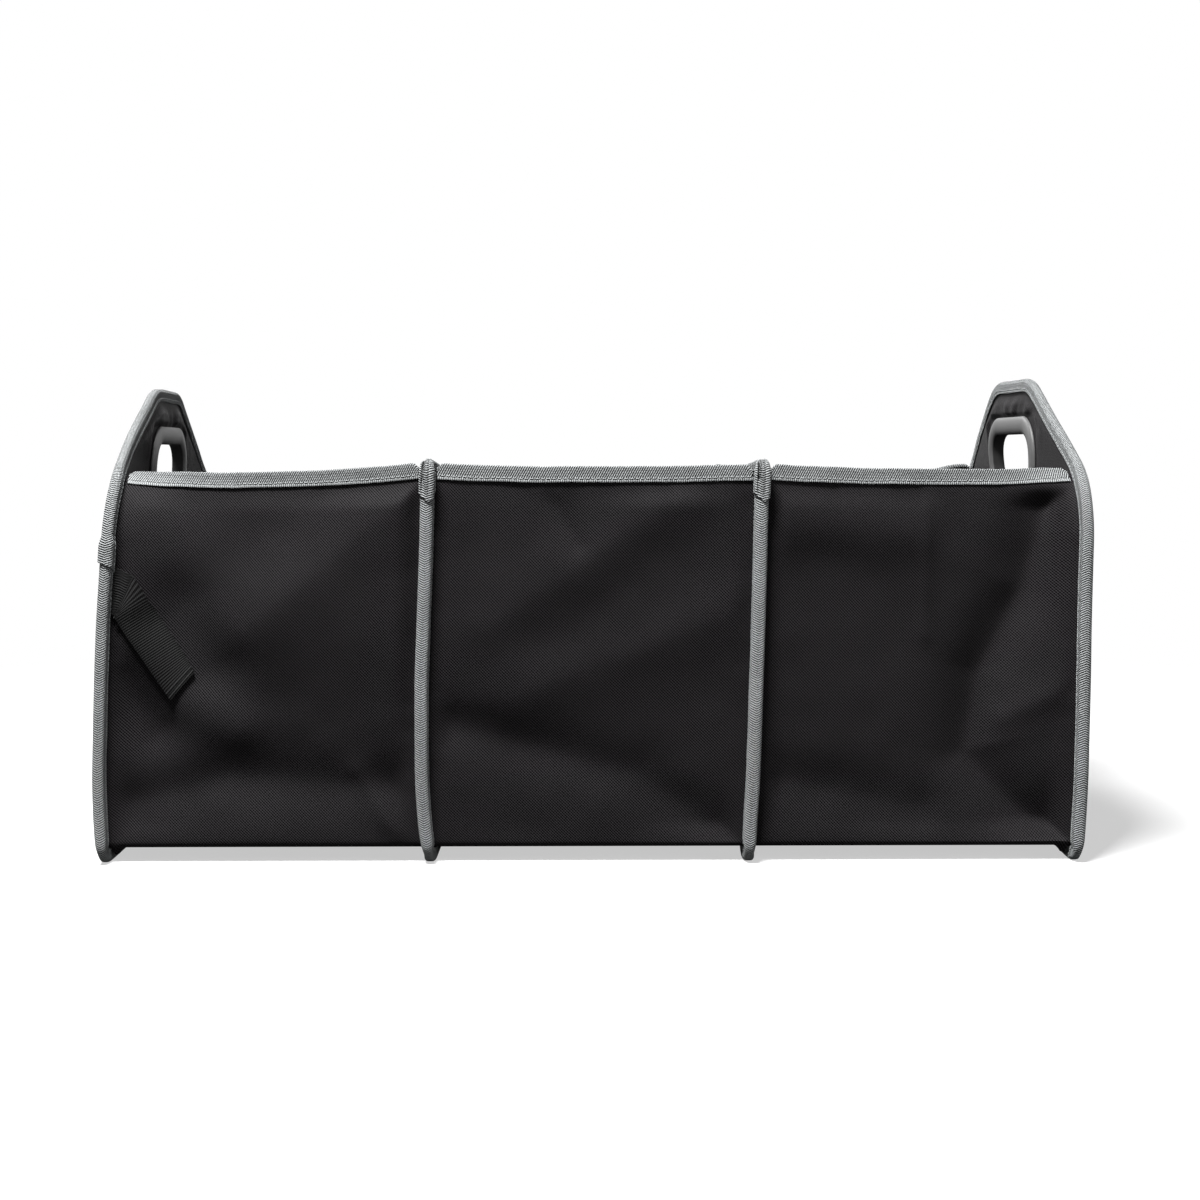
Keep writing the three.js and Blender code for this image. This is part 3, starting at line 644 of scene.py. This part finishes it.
def hem(bay, side, finish):
    """Tape folded over the top edge of a wall."""
    ends = HEM_INDENT + 0.2
    near = ends + np.array([0, 0.3, 0.8, 1.5, 2.4])
    body = np.linspace(ends + 3.6, BAY_WIDTH - ends - 3.6, 96)
    a = np.concatenate([near, body, BAY_WIDTH - near[::-1]])
    outer, inner = GAP + TAPE / 2, -CLOTH - GAP - TAPE / 2
    radius = (outer - inner) / 2
    rise = WALL_HEIGHT - TAPE / 2 - radius - HEM_FOOT
    turn = np.linspace(0, pi, 12)
    bend = together(inner + radius + radius * np.cos(turn), rise + radius * np.sin(turn))
    path = np.concatenate([[[outer, 0]], bend, [[inner, 0]]])
    width = path_lookup(path, np.array([0.0]))[1]
    across, from_edge, thickness = tape_profile(width)
    look = path_lookup(path, across)[0]
    out, up = look[:, 0][None, :], look[:, 1][None, :]
    middle = (across - width / 2)[None, :]
    column = a[:, None]
    leg = fade(np.abs(middle), 3, width / 2)
    seed = bay.seed + 40 + side
    out = out + np.sign(out + 0.3) * leg * (0.1 + 0.25 * ripple(column, middle, 13, seed))
    from_end = np.minimum(column, BAY_WIDTH - column) - ends
    up = up * (1 - 0.3 * (1 - fade(from_end, 0, 3.5)) * fade(up, 4, 9.4))
    up = up + 0.25 * ripple(column, 2.5, 21, seed + 1) + 0.12 * ripple(column, up, 6, seed + 2)
    # Above the cloth's own top edge the tape goes on along the wall.
    height = np.minimum(HEM_FOOT + up, WALL_TOP)
    surface = bay.wall(side, column, height, out, HEM_FOOT + up - height)
    surface[..., 1] += side * 0.35 * ripple(a, 0.5, 34, seed + 3)[:, None]
    weave = together(column, middle, from_edge)
    label = "_front_hem" if side < 0 else "_back_hem"
    made = piece(bay.name + label, tape_with_stitches(surface, thickness, weave), finish)


def closing_strap(bay, finish):
    """Webbing from the left front seam: a short root, a crease, and a tail across the wall."""
    slope, lean = radians(56), radians(22)
    half = STRAP_WIDTH / 2
    crease = half / cos(slope - lean)
    across = np.linspace(-1, 1, 25)

    def lay(*lines):
        """Points on lines across the strap, from where each line's middle lies, half its length, its lean
        and how far out it is, with the places along it."""
        a, height, reach, tilt, out = (values[:, None] for values in lines)
        span = reach * across
        return bay.wall(-1, a + span * np.sin(tilt), height + span * np.cos(tilt), out), span

    share = np.linspace(0, 1, 16)
    surface, span = lay(
        STRAP_ROOT[0] + (STRAP_CREASE[0] - STRAP_ROOT[0]) * share,
        STRAP_ROOT[1] + (STRAP_CREASE[1] - STRAP_ROOT[1]) * share,
        crease * (1.04 - 0.04 * share),
        lean * share,
        1.9 + 0.9 * np.sin(pi * share) - 0.5 * share,
    )
    ribs = 0.34 * surface[..., 0] + 0.94 * surface[..., 2]
    ribs = ribs + 0.25 * np.sin(surface[..., 0] * 0.9)
    weave = together(ribs, 0.4 * span, 20)
    root = sheet_shell(surface, 1.1 + 0.12 * np.cos(2 * pi * ribs / 2.1), weave)

    run = np.linspace(0, STRAP_TAIL, 260)
    turned = fade(run, 0, 9)
    cut_back = radians(17) * fade(run, STRAP_TAIL - 20, STRAP_TAIL)
    bulge = 1.5 * np.exp(-(((run - 6) / 7) ** 2))
    surface, span = lay(
        STRAP_CREASE[0] - 0.6 + run * cos(slope),
        STRAP_CREASE[1] - run * sin(slope),
        crease + (half - crease) * turned,
        lean + (slope - lean) * turned - cut_back,
        2.5 + bulge - 0.5 * fade(run, 8, 26) + 0.2 * fade(run, STRAP_TAIL - 14, STRAP_TAIL),
    )
    along = run[:, None] + 0 * span
    from_edge = half * (1 - np.abs(across))[None, :] + 0 * span
    ribs = np.cos(2 * pi * along / 1.5) * fade(from_edge, 0.6, 1.8)
    cut = fade(along, 60.5, 61.3)
    bars = 0.35 * np.exp(-(((along - 62.2) / 0.7) ** 2)) + 0.35 * np.exp(-(((along - 64.8) / 0.6) ** 2))
    thickness = 1.15 + 0.26 * ribs * (1 - cut) + 2 * bars
    thickness = thickness + 0.12 * cut * ripple(along, span, 1.3, 77)
    surface[..., 1] -= 0.3 * ripple(along, span, 24, 78)
    tail = sheet_shell(surface, thickness, together(along, span, from_edge))
    made = piece("closing_strap", [root, tail], finish)


def base_board(bay, finish):
    """A board in a cloth cover, loose on the bay's floor."""
    wide = BAY_WIDTH - 2 * (CLOTH + BOARD_PLAY)
    deep = DEPTH - 2 * (WALL_FOOT + BOARD_PLAY)
    half = BASE_BOARD / 2
    middle_x = bay.left + BAY_WIDTH / 2
    middle_z = FIN + CLOTH + GAP + half
    corner = 3.0
    box = even_outline([(wide / 2, -deep / 2, corner), (wide / 2, deep / 2, corner)], 3)
    base, out = box.at(np.linspace(0, 1, 160, endpoint=False) * box.length)
    # Rings of places and their levels, from the middle of the foot round the rim to the middle of the top
    shares = [1.0, 0.9, 0.75, 0.5, 0.25, 0.1, 0.03]
    rings = [(base * share, -1.0) for share in shares[::-1]]
    for turn in np.linspace(-pi / 2, pi / 2, 9):
        rings.append((base - out * half * (1 - cos(turn)), sin(turn)))
    rings += [(base * share, 1.0) for share in shares]
    points = []
    for ring, level in rings:
        x, y = ring.T
        dip = 0.25 * (level > 0.99) * (ripple(x, y, 40, bay.seed + 9) - 1)
        points.append(together(middle_x + x, y, middle_z + half * level + dip))
    grid = np.stack(points, 1)
    weave = together(grid[..., 1], grid[..., 0], NO_EDGE)
    count, size = grid.shape[:2]
    index = np.arange(count * size).reshape(count, size)
    after = np.roll(index, -1, 0)
    faces = np.stack([index[:, :-1], after[:, :-1], after[:, 1:], index[:, 1:]], -1).reshape(-1, 4)
    # The two faces close over their middles.
    closing = []
    for column, flip in ((0, False), (size - 1, True)):
        ring = index[:, column]
        lower, upper = ring[: count // 2], ring[count // 2 :][::-1]
        quads = np.stack([lower[:-1], lower[1:], upper[1:], upper[:-1]], -1)
        closing.append(quads if flip else quads[:, ::-1])
    shell = (grid.reshape(-1, 3), np.concatenate([faces] + closing), weave.reshape(-1, 3))
    piece(bay.name + "_base_board", [shell], finish)


# Panels


def plate_shell(panel, edge, out, thickness, hole=None, relief=None, rays=200, rings=14):
    """A ply of a panel, as rays from the middle of its hand hole or from its own middle."""
    centre = np.array([0.0, GRIP_MIDDLE if hole else 120.0])
    angles = np.linspace(-pi, pi, rays, endpoint=False)
    outer = edge.reach(centre, TAPE_FOLD, angles)
    inner = hole.reach(centre, -(SLEEVE + GAP), angles) if hole else np.full(rays, 1.0)
    share = np.linspace(0, 1, rings)[None, :] ** 0.9
    reach = inner[:, None] * (1 - share) + outer[:, None] * share
    depth = centre[0] + reach * np.cos(angles)[:, None]
    height = centre[1] + reach * np.sin(angles)[:, None]
    lift = relief(depth, height) * fade(outer[:, None] - reach, 7.5, 16) if relief else 0 * depth
    middle = panel.points(depth, height, out + np.sign(out) * lift)
    return sheet_shell(middle, thickness, together(height, depth, NO_EDGE), ring=True)


def grip_puckers(seed):
    """Cloth drawn in round a hand grip: pleats that fan out from its upper half."""

    def relief(depth, height):
        bearing = np.arctan2(height - GRIP_MIDDLE, depth * 0.7)
        top = fade(np.sin(bearing), -0.1, 0.6)
        beside = np.maximum(np.abs(depth) - HALF_GRIP, 0)
        from_grip = np.hypot(beside, np.maximum(np.abs(height - GRIP_MIDDLE) - HALF_GRIP_HEIGHT, 0))
        reach = np.exp(-((np.maximum(from_grip - RIM, 0) / 26) ** 2))
        pleats = ripple(bearing * 34, 0.5, 5.2, seed) + 0.5 * ripple(depth, height / 6, 7, seed + 1)
        broad, fine = ripple(depth, height, 48, seed + 2), ripple(depth, height, 15, seed + 3)
        soft = 0.3 * (1 + broad) + 0.12 * (1 + fine)
        return (1.1 * top * reach * (pleats + 1.3) + soft) * fade(from_grip, RIM - 1, RIM + 4)

    return relief


def soft_relief(seed):
    """Cloth that lies a little unevenly on its board."""

    def relief(depth, height):
        broad, fine = ripple(depth, height, 52, seed), ripple(depth, height, 16, seed + 1)
        return 0.35 * (1 + broad) + 0.15 * (1 + fine)

    return relief


def handle_inner_half(panel, finish):
    face = CLOTH_FACE + GAP
    end = -face - COVER
    turn = np.linspace(0, pi, 22)
    crown = np.stack([RIM / 2 * (1 - np.cos(turn)), face + 0.5 + 2.4 * np.sin(turn) ** 0.8], -1)
    lip = [(0.25, end), (0, end + 0.3), (0, end + 1.5), (0, 0), (0, face)]
    foot = [(RIM, face + 0.2), (RIM - 0.25, face), (SLEEVE, face)]
    rest = [(SLEEVE, end + 0.25), (SLEEVE - 0.25, end)]
    hoop(panel, "_handle_inner_half", np.concatenate([lip, crown, foot, rest]), finish)


def handle_cover(panel, finish):
    face = -(CLOTH_FACE + GAP)
    end = face - COVER
    inside = SLEEVE + GAP
    section = [(inside, face), (RIM, face), (RIM, face - 0.7), (RIM - 0.35, face - 1.1)]
    section += [(RIM - 1.5, end + 0.15), (RIM - 2.2, end), (6, end)]
    section += [(inside + 0.4, end), (inside, end + 0.4)]
    hoop(panel, "_handle_cover", np.array(section), finish)


def hoop(panel, label, section, finish):
    """A moulding carried round the hand hole. section is (distance outside the hole, place across)."""
    along = np.linspace(0, GRIP_EDGE.length, 160, endpoint=False)
    base, out = GRIP_EDGE.at(along)
    # The rim is a little narrower at its upright sides.
    reach, place = section[:, 0][None, :], section[:, 1][None, :]
    beyond = np.maximum(reach - SLEEVE, 0) * (0.22 * np.abs(out[:, :1]) ** 2)
    places = base[:, None] + (reach - beyond)[..., None] * out[:, None]
    rows = panel.points(places[..., 0], places[..., 1], place)
    weave = together(along[:, None], place, reach).reshape(-1, 3)
    piece(panel.name.replace("_end", label), [hoop_shell(rows, weave)], finish)


def slanted(across):
    """The last end of an end panel's tape, cut on the slant."""
    return 0.5 * across


def drawn_down(across):
    """The last end of a divider's top tape, drawn down beside its fold."""
    return 3.5 - 1.1 * np.minimum(np.abs(across - 1), 5)


def end_panel(panel, finishes):
    name, seed = panel.name, 500 if panel.turn > 0 else 600
    board = plate_shell(panel, END_PLY_EDGE, 0.0, PANEL_BOARD, GRIP_EDGE)
    piece(name + "_board", [board], finishes["board"])
    middle = HALF_BOARD + GAP + CLOTH / 2
    for label, out in (("_inner_cloth", middle), ("_outer_cloth", -middle)):
        seed += 10
        fine = (360, 36) if out > 0 else (240, 24)
        skin = plate_shell(panel, END_PLY_EDGE, out, CLOTH, GRIP_EDGE, grip_puckers(seed), *fine)
        made = piece(name + label, [skin], finishes["cloth"])
    start = END_EDGE.place_of(-1, END_TAPE_JOINT)
    end = start + END_EDGE.length + END_TAPE_LAP
    along = np.concatenate([np.arange(start, end - 30, 3), np.linspace(end - 30, end, 22)])
    height = END_EDGE.at(along)[0][:, 1]
    over = fade(along, end - 18, end - 11)
    bare = fade(height, 232, 248)
    inner_face = SEAM_TAPE_FACE + (PLAIN_TAPE_FACE - SEAM_TAPE_FACE) * bare
    faces = (np.full(len(along), PLAIN_TAPE_FACE), inner_face)
    tape = folded_tape(panel, END_EDGE, along, faces, over, seed + 20, slanted)
    made = piece(name + "_binding", tape, finishes["tape"])
    handle_inner_half(panel, finishes["plastic"])
    handle_cover(panel, finishes["plastic"])


def divider(panel, finishes):
    name = panel.name
    seed = 700 if panel.place < 0 else 800
    board = plate_shell(panel, DIVIDER_PLY_EDGE, 0.0, PANEL_BOARD)
    piece(name + "_board", [board], finishes["board"])
    middle = HALF_BOARD + GAP + CLOTH / 2
    for label, out in (("_left_cloth", -middle), ("_right_cloth", middle)):
        seed += 10
        skin = plate_shell(panel, DIVIDER_PLY_EDGE, out, CLOTH, None, soft_relief(seed))
        made = piece(name + label, [skin], finishes["cloth"])
    front, back = (DIVIDER_EDGE.place_of(side, FIN_TAPE_END) for side in (-1, 1))
    back += DIVIDER_EDGE.length * (back < front)
    along = np.arange(front, back + 1.5, 3)
    face = np.full(len(along), SEAM_TAPE_FACE)
    tape = folded_tape(panel, DIVIDER_EDGE, along, (face, face), 0, seed + 20, np.zeros_like)
    made = piece(name + "_fin_binding", tape, finishes["tape"])
    back, front = (DIVIDER_EDGE.place_of(side, TOP_TAPE_END) for side in (1, -1))
    front += DIVIDER_EDGE.length * (front < back)
    along = np.linspace(back, front, 190)
    points, outs = DIVIDER_EDGE.at(along)
    upright = np.abs(outs[:, 0])
    face = SEAM_TAPE_FACE - (1 - upright) * (SEAM_TAPE_FACE - PLAIN_TAPE_FACE)
    from_end = front - along
    groove = 3.2 * fade(from_end, 0, 4) * (1 - fade(from_end, 26, 33))
    over = 0.8 * upright
    tape = folded_tape(panel, DIVIDER_EDGE, along, (face, face), over, seed + 30, drawn_down, groove)
    made = piece(name + "_top_binding", tape, finishes["tape"])


# Finishes


class Value:
    """A socket's number or colour, which varies over a surface. Arithmetic on it adds Math nodes."""

    def __init__(self, nodes, socket):
        self.nodes, self.socket = nodes, socket

    def math(self, operation, *others, first=None):
        values = [self if first is None else first, *others]
        inputs = dict(enumerate(values))
        return self.nodes.add("ShaderNodeMath", {"operation": operation}, inputs)

    def __add__(self, other):
        return self.math("ADD", other)

    def __sub__(self, other):
        return self.math("SUBTRACT", other)

    def __rsub__(self, other):
        return self.math("SUBTRACT", self, first=other)

    def __mul__(self, other):
        return self.math("MULTIPLY", other)

    def __truediv__(self, other):
        return self.math("DIVIDE", other)

    __radd__, __rmul__ = __add__, __mul__

    def sine(self):
        return self.math("SINE")

    def size(self):
        return self.math("ABSOLUTE")

    def limited(self):
        return self.math("MINIMUM", 1.0).math("MAXIMUM", 0.0)

    def above(self, limit, soft=0.2):
        """0 below the limit and 1 above it, with a soft step between."""
        return ((self - limit) / soft + 0.5).limited()


class Nodes:
    """A tree of nodes, added one by one."""

    def __init__(self, owner):
        owner.use_nodes = True
        self.tree = owner.node_tree

    def add(self, kind, settings=None, inputs=None, output=0):
        node = self.tree.nodes.new(kind)
        for setting, value in (settings or {}).items():
            setattr(node, setting, value)
        for socket, value in (inputs or {}).items():
            if isinstance(value, Value):
                self.tree.links.new(value.socket, node.inputs[socket])
            else:
                node.inputs[socket].default_value = value
        return Value(self, node.outputs[output])

    def seen(self, *kinds):
        """1 on rays of these kinds, and 0 on all others."""
        rays = [self.add("ShaderNodeLightPath", output=f"Is {kind} Ray") for kind in kinds]
        return sum(rays[1:], rays[0]).limited()

    def shown(self, amount, one, other, result):
        """Two shaders mixed on an output. amount is the other's share."""
        inputs = {0: amount, 1: one, 2: other}
        mix = self.add("ShaderNodeMixShader", None, inputs)
        self.tree.links.new(mix.socket, self.tree.nodes[result].inputs["Surface"])


class Finish(Nodes):
    """A material on one surface."""

    def __init__(self, name, **surface):
        self.material = bpy.data.materials.new(name)
        super().__init__(self.material)
        self.surface = self.tree.nodes["Principled BSDF"]
        for socket, value in surface.items():
            self.surface.inputs[socket.replace("_", " ")].default_value = value

    def weave(self):
        """Millimetres along the stuff, across it, and in from its woven edge."""
        read = self.add("ShaderNodeAttribute", {"attribute_name": "weave"}, output="Vector")
        split = {"Vector": read}
        return read, *(self.add("ShaderNodeSeparateXYZ", None, split, axis) for axis in "XYZ")

    def place(self):
        return self.add("ShaderNodeTexCoord", output="Object")

    def noise(self, vector, scale, detail=2.0):
        inputs = {"Vector": vector, "Scale": scale, "Detail": detail}
        return self.add("ShaderNodeTexNoise", None, inputs)

    def mixed(self, amount, one, other):
        inputs = {0: amount, 6: one, 7: other}
        return self.add("ShaderNodeMix", {"data_type": "RGBA"}, inputs, 2)

    def feed(self, **links):
        for socket, value in links.items():
            self.tree.links.new(value.socket, self.surface.inputs[socket.replace("_", " ")])

    def bump(self, height, distance, strength=1.0):
        inputs = {"Height": height, "Distance": distance * MM, "Strength": strength}
        self.feed(Normal=self.add("ShaderNodeBump", None, inputs))


def grey(level):
    return (level, level, level, 1)


def woven_cloth(name, level):
    """Black polyester in a plain weave, whose crossings make a fine diagonal grain."""
    finish = Finish(name, Specular_IOR_Level=0.03, Sheen_Weight=0.03, Sheen_Roughness=0.4)
    thread = 0.9
    vector, along, across, _ = finish.weave()
    down, up = ((along - across) * (pi / thread)).sine(), ((along + across) * (pi / thread)).sine()
    crossing = down * 0.75 + up * 0.4
    grain = finish.noise(vector, 1.0, 2.0)
    mottle = finish.noise(vector, 0.02, 2.0)
    shade = (0.5 + crossing * 0.9 + (grain - 0.5) * 1.1) * (0.75 + mottle * 0.5)
    bright = (level * 2, level * 1.86, level * 2, 1)
    finish.feed(
        Base_Color=finish.mixed(shade.limited(), grey(level * 0.04), bright),
        Roughness=0.42 + grain * 0.16,
    )
    finish.bump(crossing * 0.6 + grain * 0.5, 0.14, 0.9)
    return finish.material


def woven_tape():
    """Grey binding tape: a fine chevron about its fold, a bright corded edge with stitches beside it, and
    painted shade in a pressed groove.
    """
    finish = Finish("grey_binding_tape", Specular_IOR_Level=0.2)
    vector, along, across, from_edge = finish.weave()
    slant = along * (2 * pi * 0.89 / 1.25) + across.size() * (2 * pi * 0.45 / 1.25)
    rows = across * (2 * pi / 1.6)
    rib = slant.sine() * (1 + rows.sine() * 0.4)
    cord = (along * (2 * pi / 1.3)).sine()
    edge = 1 - from_edge.above(1.25, 0.25)
    thread = 1 - from_edge.above(THREAD_MARK / 2.5, 0.5)
    # Painted shade: in the groove pressed into a divider's top tape the colour is darkened.
    groove_shade = from_edge.above(0.6 * GROOVE_SHADE_MARK, GROOVE_SHADE_MARK / 1.5)
    grain = finish.noise(vector, 1.2, 2.0)
    mottle = finish.noise(vector, 0.05, 2.0)
    height = rib * (1 - edge) + cord * edge
    light = 0.46 + height * 0.62 + (grain - 0.5) * 1.1 + edge * 0.35 + (mottle - 0.5) * 0.3
    shade = light * (1 - thread) + thread * 0.6 - groove_shade * 0.5
    finish.feed(
        Base_Color=finish.mixed(shade.limited(), grey(0.01), (0.45, 0.467, 0.471, 1)),
        Roughness=0.7 + grain * 0.2,
    )
    finish.bump(height * (1 - thread) + grain * 0.5, 0.3, 0.9)
    return finish.material


def ribbed_webbing():
    finish = Finish("black_ribbed_webbing", Specular_IOR_Level=0.1)
    vector, along, across, from_edge = finish.weave()
    rib = (along * (2 * pi / 1.5) + pi / 2).sine()
    twist = (across * (2 * pi / 1.1) + along * (pi / 1.5)).sine()
    grain = finish.noise(vector, 1.6, 3.0)
    edge = 1 - from_edge.above(1.6, 0.5)
    light = 0.32 + twist * 0.15 + (grain - 0.5) * 0.7 + rib * 0.7 - edge * 0.15
    finish.feed(
        Base_Color=finish.mixed(light.limited(), grey(0.001), grey(0.028)),
        Roughness=0.5 + grain * 0.25,
    )
    finish.bump(twist * 0.6 + grain * 0.6, 0.15, 0.8)
    return finish.material


def grip_plastic():
    """Dark grey moulded plastic with a satin skin, rough inside its sleeve, where shade is painted as near
    black.
    """
    finish = Finish("dark_grey_grip_plastic", Specular_IOR_Level=0.4)
    place = finish.place()
    fine = finish.noise(place, 1400.0, 2.0)
    broad = finish.noise(place, 60.0, 3.0)
    # Painted shade: inside the sleeve, in the hand hole's tunnel, the colour goes near black.
    outside = finish.weave()[3].above(0.35, 0.5)
    skin = finish.mixed(broad, grey(0.085), grey(0.11))
    finish.feed(
        Base_Color=finish.mixed(outside, grey(0.006), skin),
        Roughness=0.8 - outside * 0.42 + fine * 0.1 + broad * 0.08,
    )
    finish.bump(fine, 0.03, 0.5)
    return finish.material


def grey_board():
    """Pressed board with short fibres, sewn in and out of sight."""
    finish = Finish("pressed_board", Roughness=0.9)
    fibre = finish.noise(finish.place(), 320.0, 6.0)
    finish.feed(Base_Color=finish.mixed(fibre, (0.2, 0.17, 0.13, 1), (0.4, 0.35, 0.27, 1)))
    finish.bump(fibre, 0.1, 0.5)
    return finish.material


FINISHES = {
    "cloth": woven_cloth("black_oxford_cloth", 0.0145),
    "tape": woven_tape(),
    "webbing": ribbed_webbing(),
    "plastic": grip_plastic(),
    "board": grey_board(),
    "base": woven_cloth("black_base_board_cloth", 0.016),
}

end_panel(Panel("left_end", PANEL_PLACES[0]), FINISHES)
end_panel(Panel("right_end", PANEL_PLACES[3], turned=True), FINISHES)
divider(Panel("left_divider", PANEL_PLACES[1]), FINISHES)
divider(Panel("right_divider", PANEL_PLACES[2]), FINISHES)
for bay in BAYS:
    bay_cloth(bay, FINISHES["cloth"])
    hem(bay, -1, FINISHES["tape"])
    hem(bay, 1, FINISHES["tape"])
    base_board(bay, FINISHES["base"])
closing_strap(BAYS[0], FINISHES["webbing"])

# Floor, background and light


def add_floor():
    mesh = bpy.data.meshes.new("floor")
    mesh.from_pydata([(-6, -3, 0), (6, -3, 0), (6, 9, 0), (-6, 9, 0)], [], [(0, 1, 2, 3)])
    floor = bpy.data.objects.new("floor", mesh)
    bpy.context.collection.objects.link(floor)
    # White to the camera but for the object's shadow, and dark grey where it lights the object
    finish = Finish("pale_floor", Roughness=0.9, Specular_IOR_Level=0.1)
    place = finish.place()
    speck = finish.noise(place, 30.0)
    seen = finish.seen("Camera")
    finish.feed(Base_Color=finish.mixed(seen * (0.96 + speck * 0.04), grey(0.08), grey(0.95)))
    white = finish.add("ShaderNodeEmission", None, {"Color": grey(1.0), "Strength": 1.0})
    lit = Value(finish, finish.surface.outputs["BSDF"])
    away = finish.add("ShaderNodeVectorMath", {"operation": "LENGTH"}, {0: place}, "Value")
    finish.shown(seen * (0.55 + away.above(0.75, 0.6) * 0.45), lit, white, "Material Output")
    mesh.materials.append(finish.material)


def add_world():
    """White to the camera and in reflections, and a soft even light on the object."""
    world = bpy.data.worlds.new("studio")
    bpy.context.scene.world = world
    nodes = Nodes(world)
    lit, white = (
        nodes.add("ShaderNodeBackground", None, {"Color": grey(1.0), "Strength": strength})
        for strength in (0.06, 1.0)
    )
    nodes.shown(nodes.seen("Camera", "Glossy", "Transmission"), lit, white, "World Output")


def add_softbox(name, place, aim, size, power):
    data = bpy.data.lights.new(name, "AREA")
    data.shape = "RECTANGLE"
    data.size, data.size_y = size
    data.energy = power
    light = bpy.data.objects.new(name, data)
    light.location = place
    direction = [a - p for a, p in zip(aim, place)]
    level = np.hypot(direction[0], direction[1])
    light.rotation_euler = (atan2(level, -direction[2]), 0, atan2(direction[1], direction[0]) - pi / 2)
    bpy.context.collection.objects.link(light)


add_floor()
add_world()
add_softbox("softbox_above_left", (-0.42, -0.84, 1.95), (0, 0, 0.12), (0.6, 0.4), 108)
add_softbox("softbox_right", (1.5, -1.2, 0.8), (0, 0, 0.15), (0.8, 0.8), 5)
add_softbox("softbox_behind", (-0.9, 1.6, 1.4), (0, 0, 0.15), (1.0, 0.8), 26)
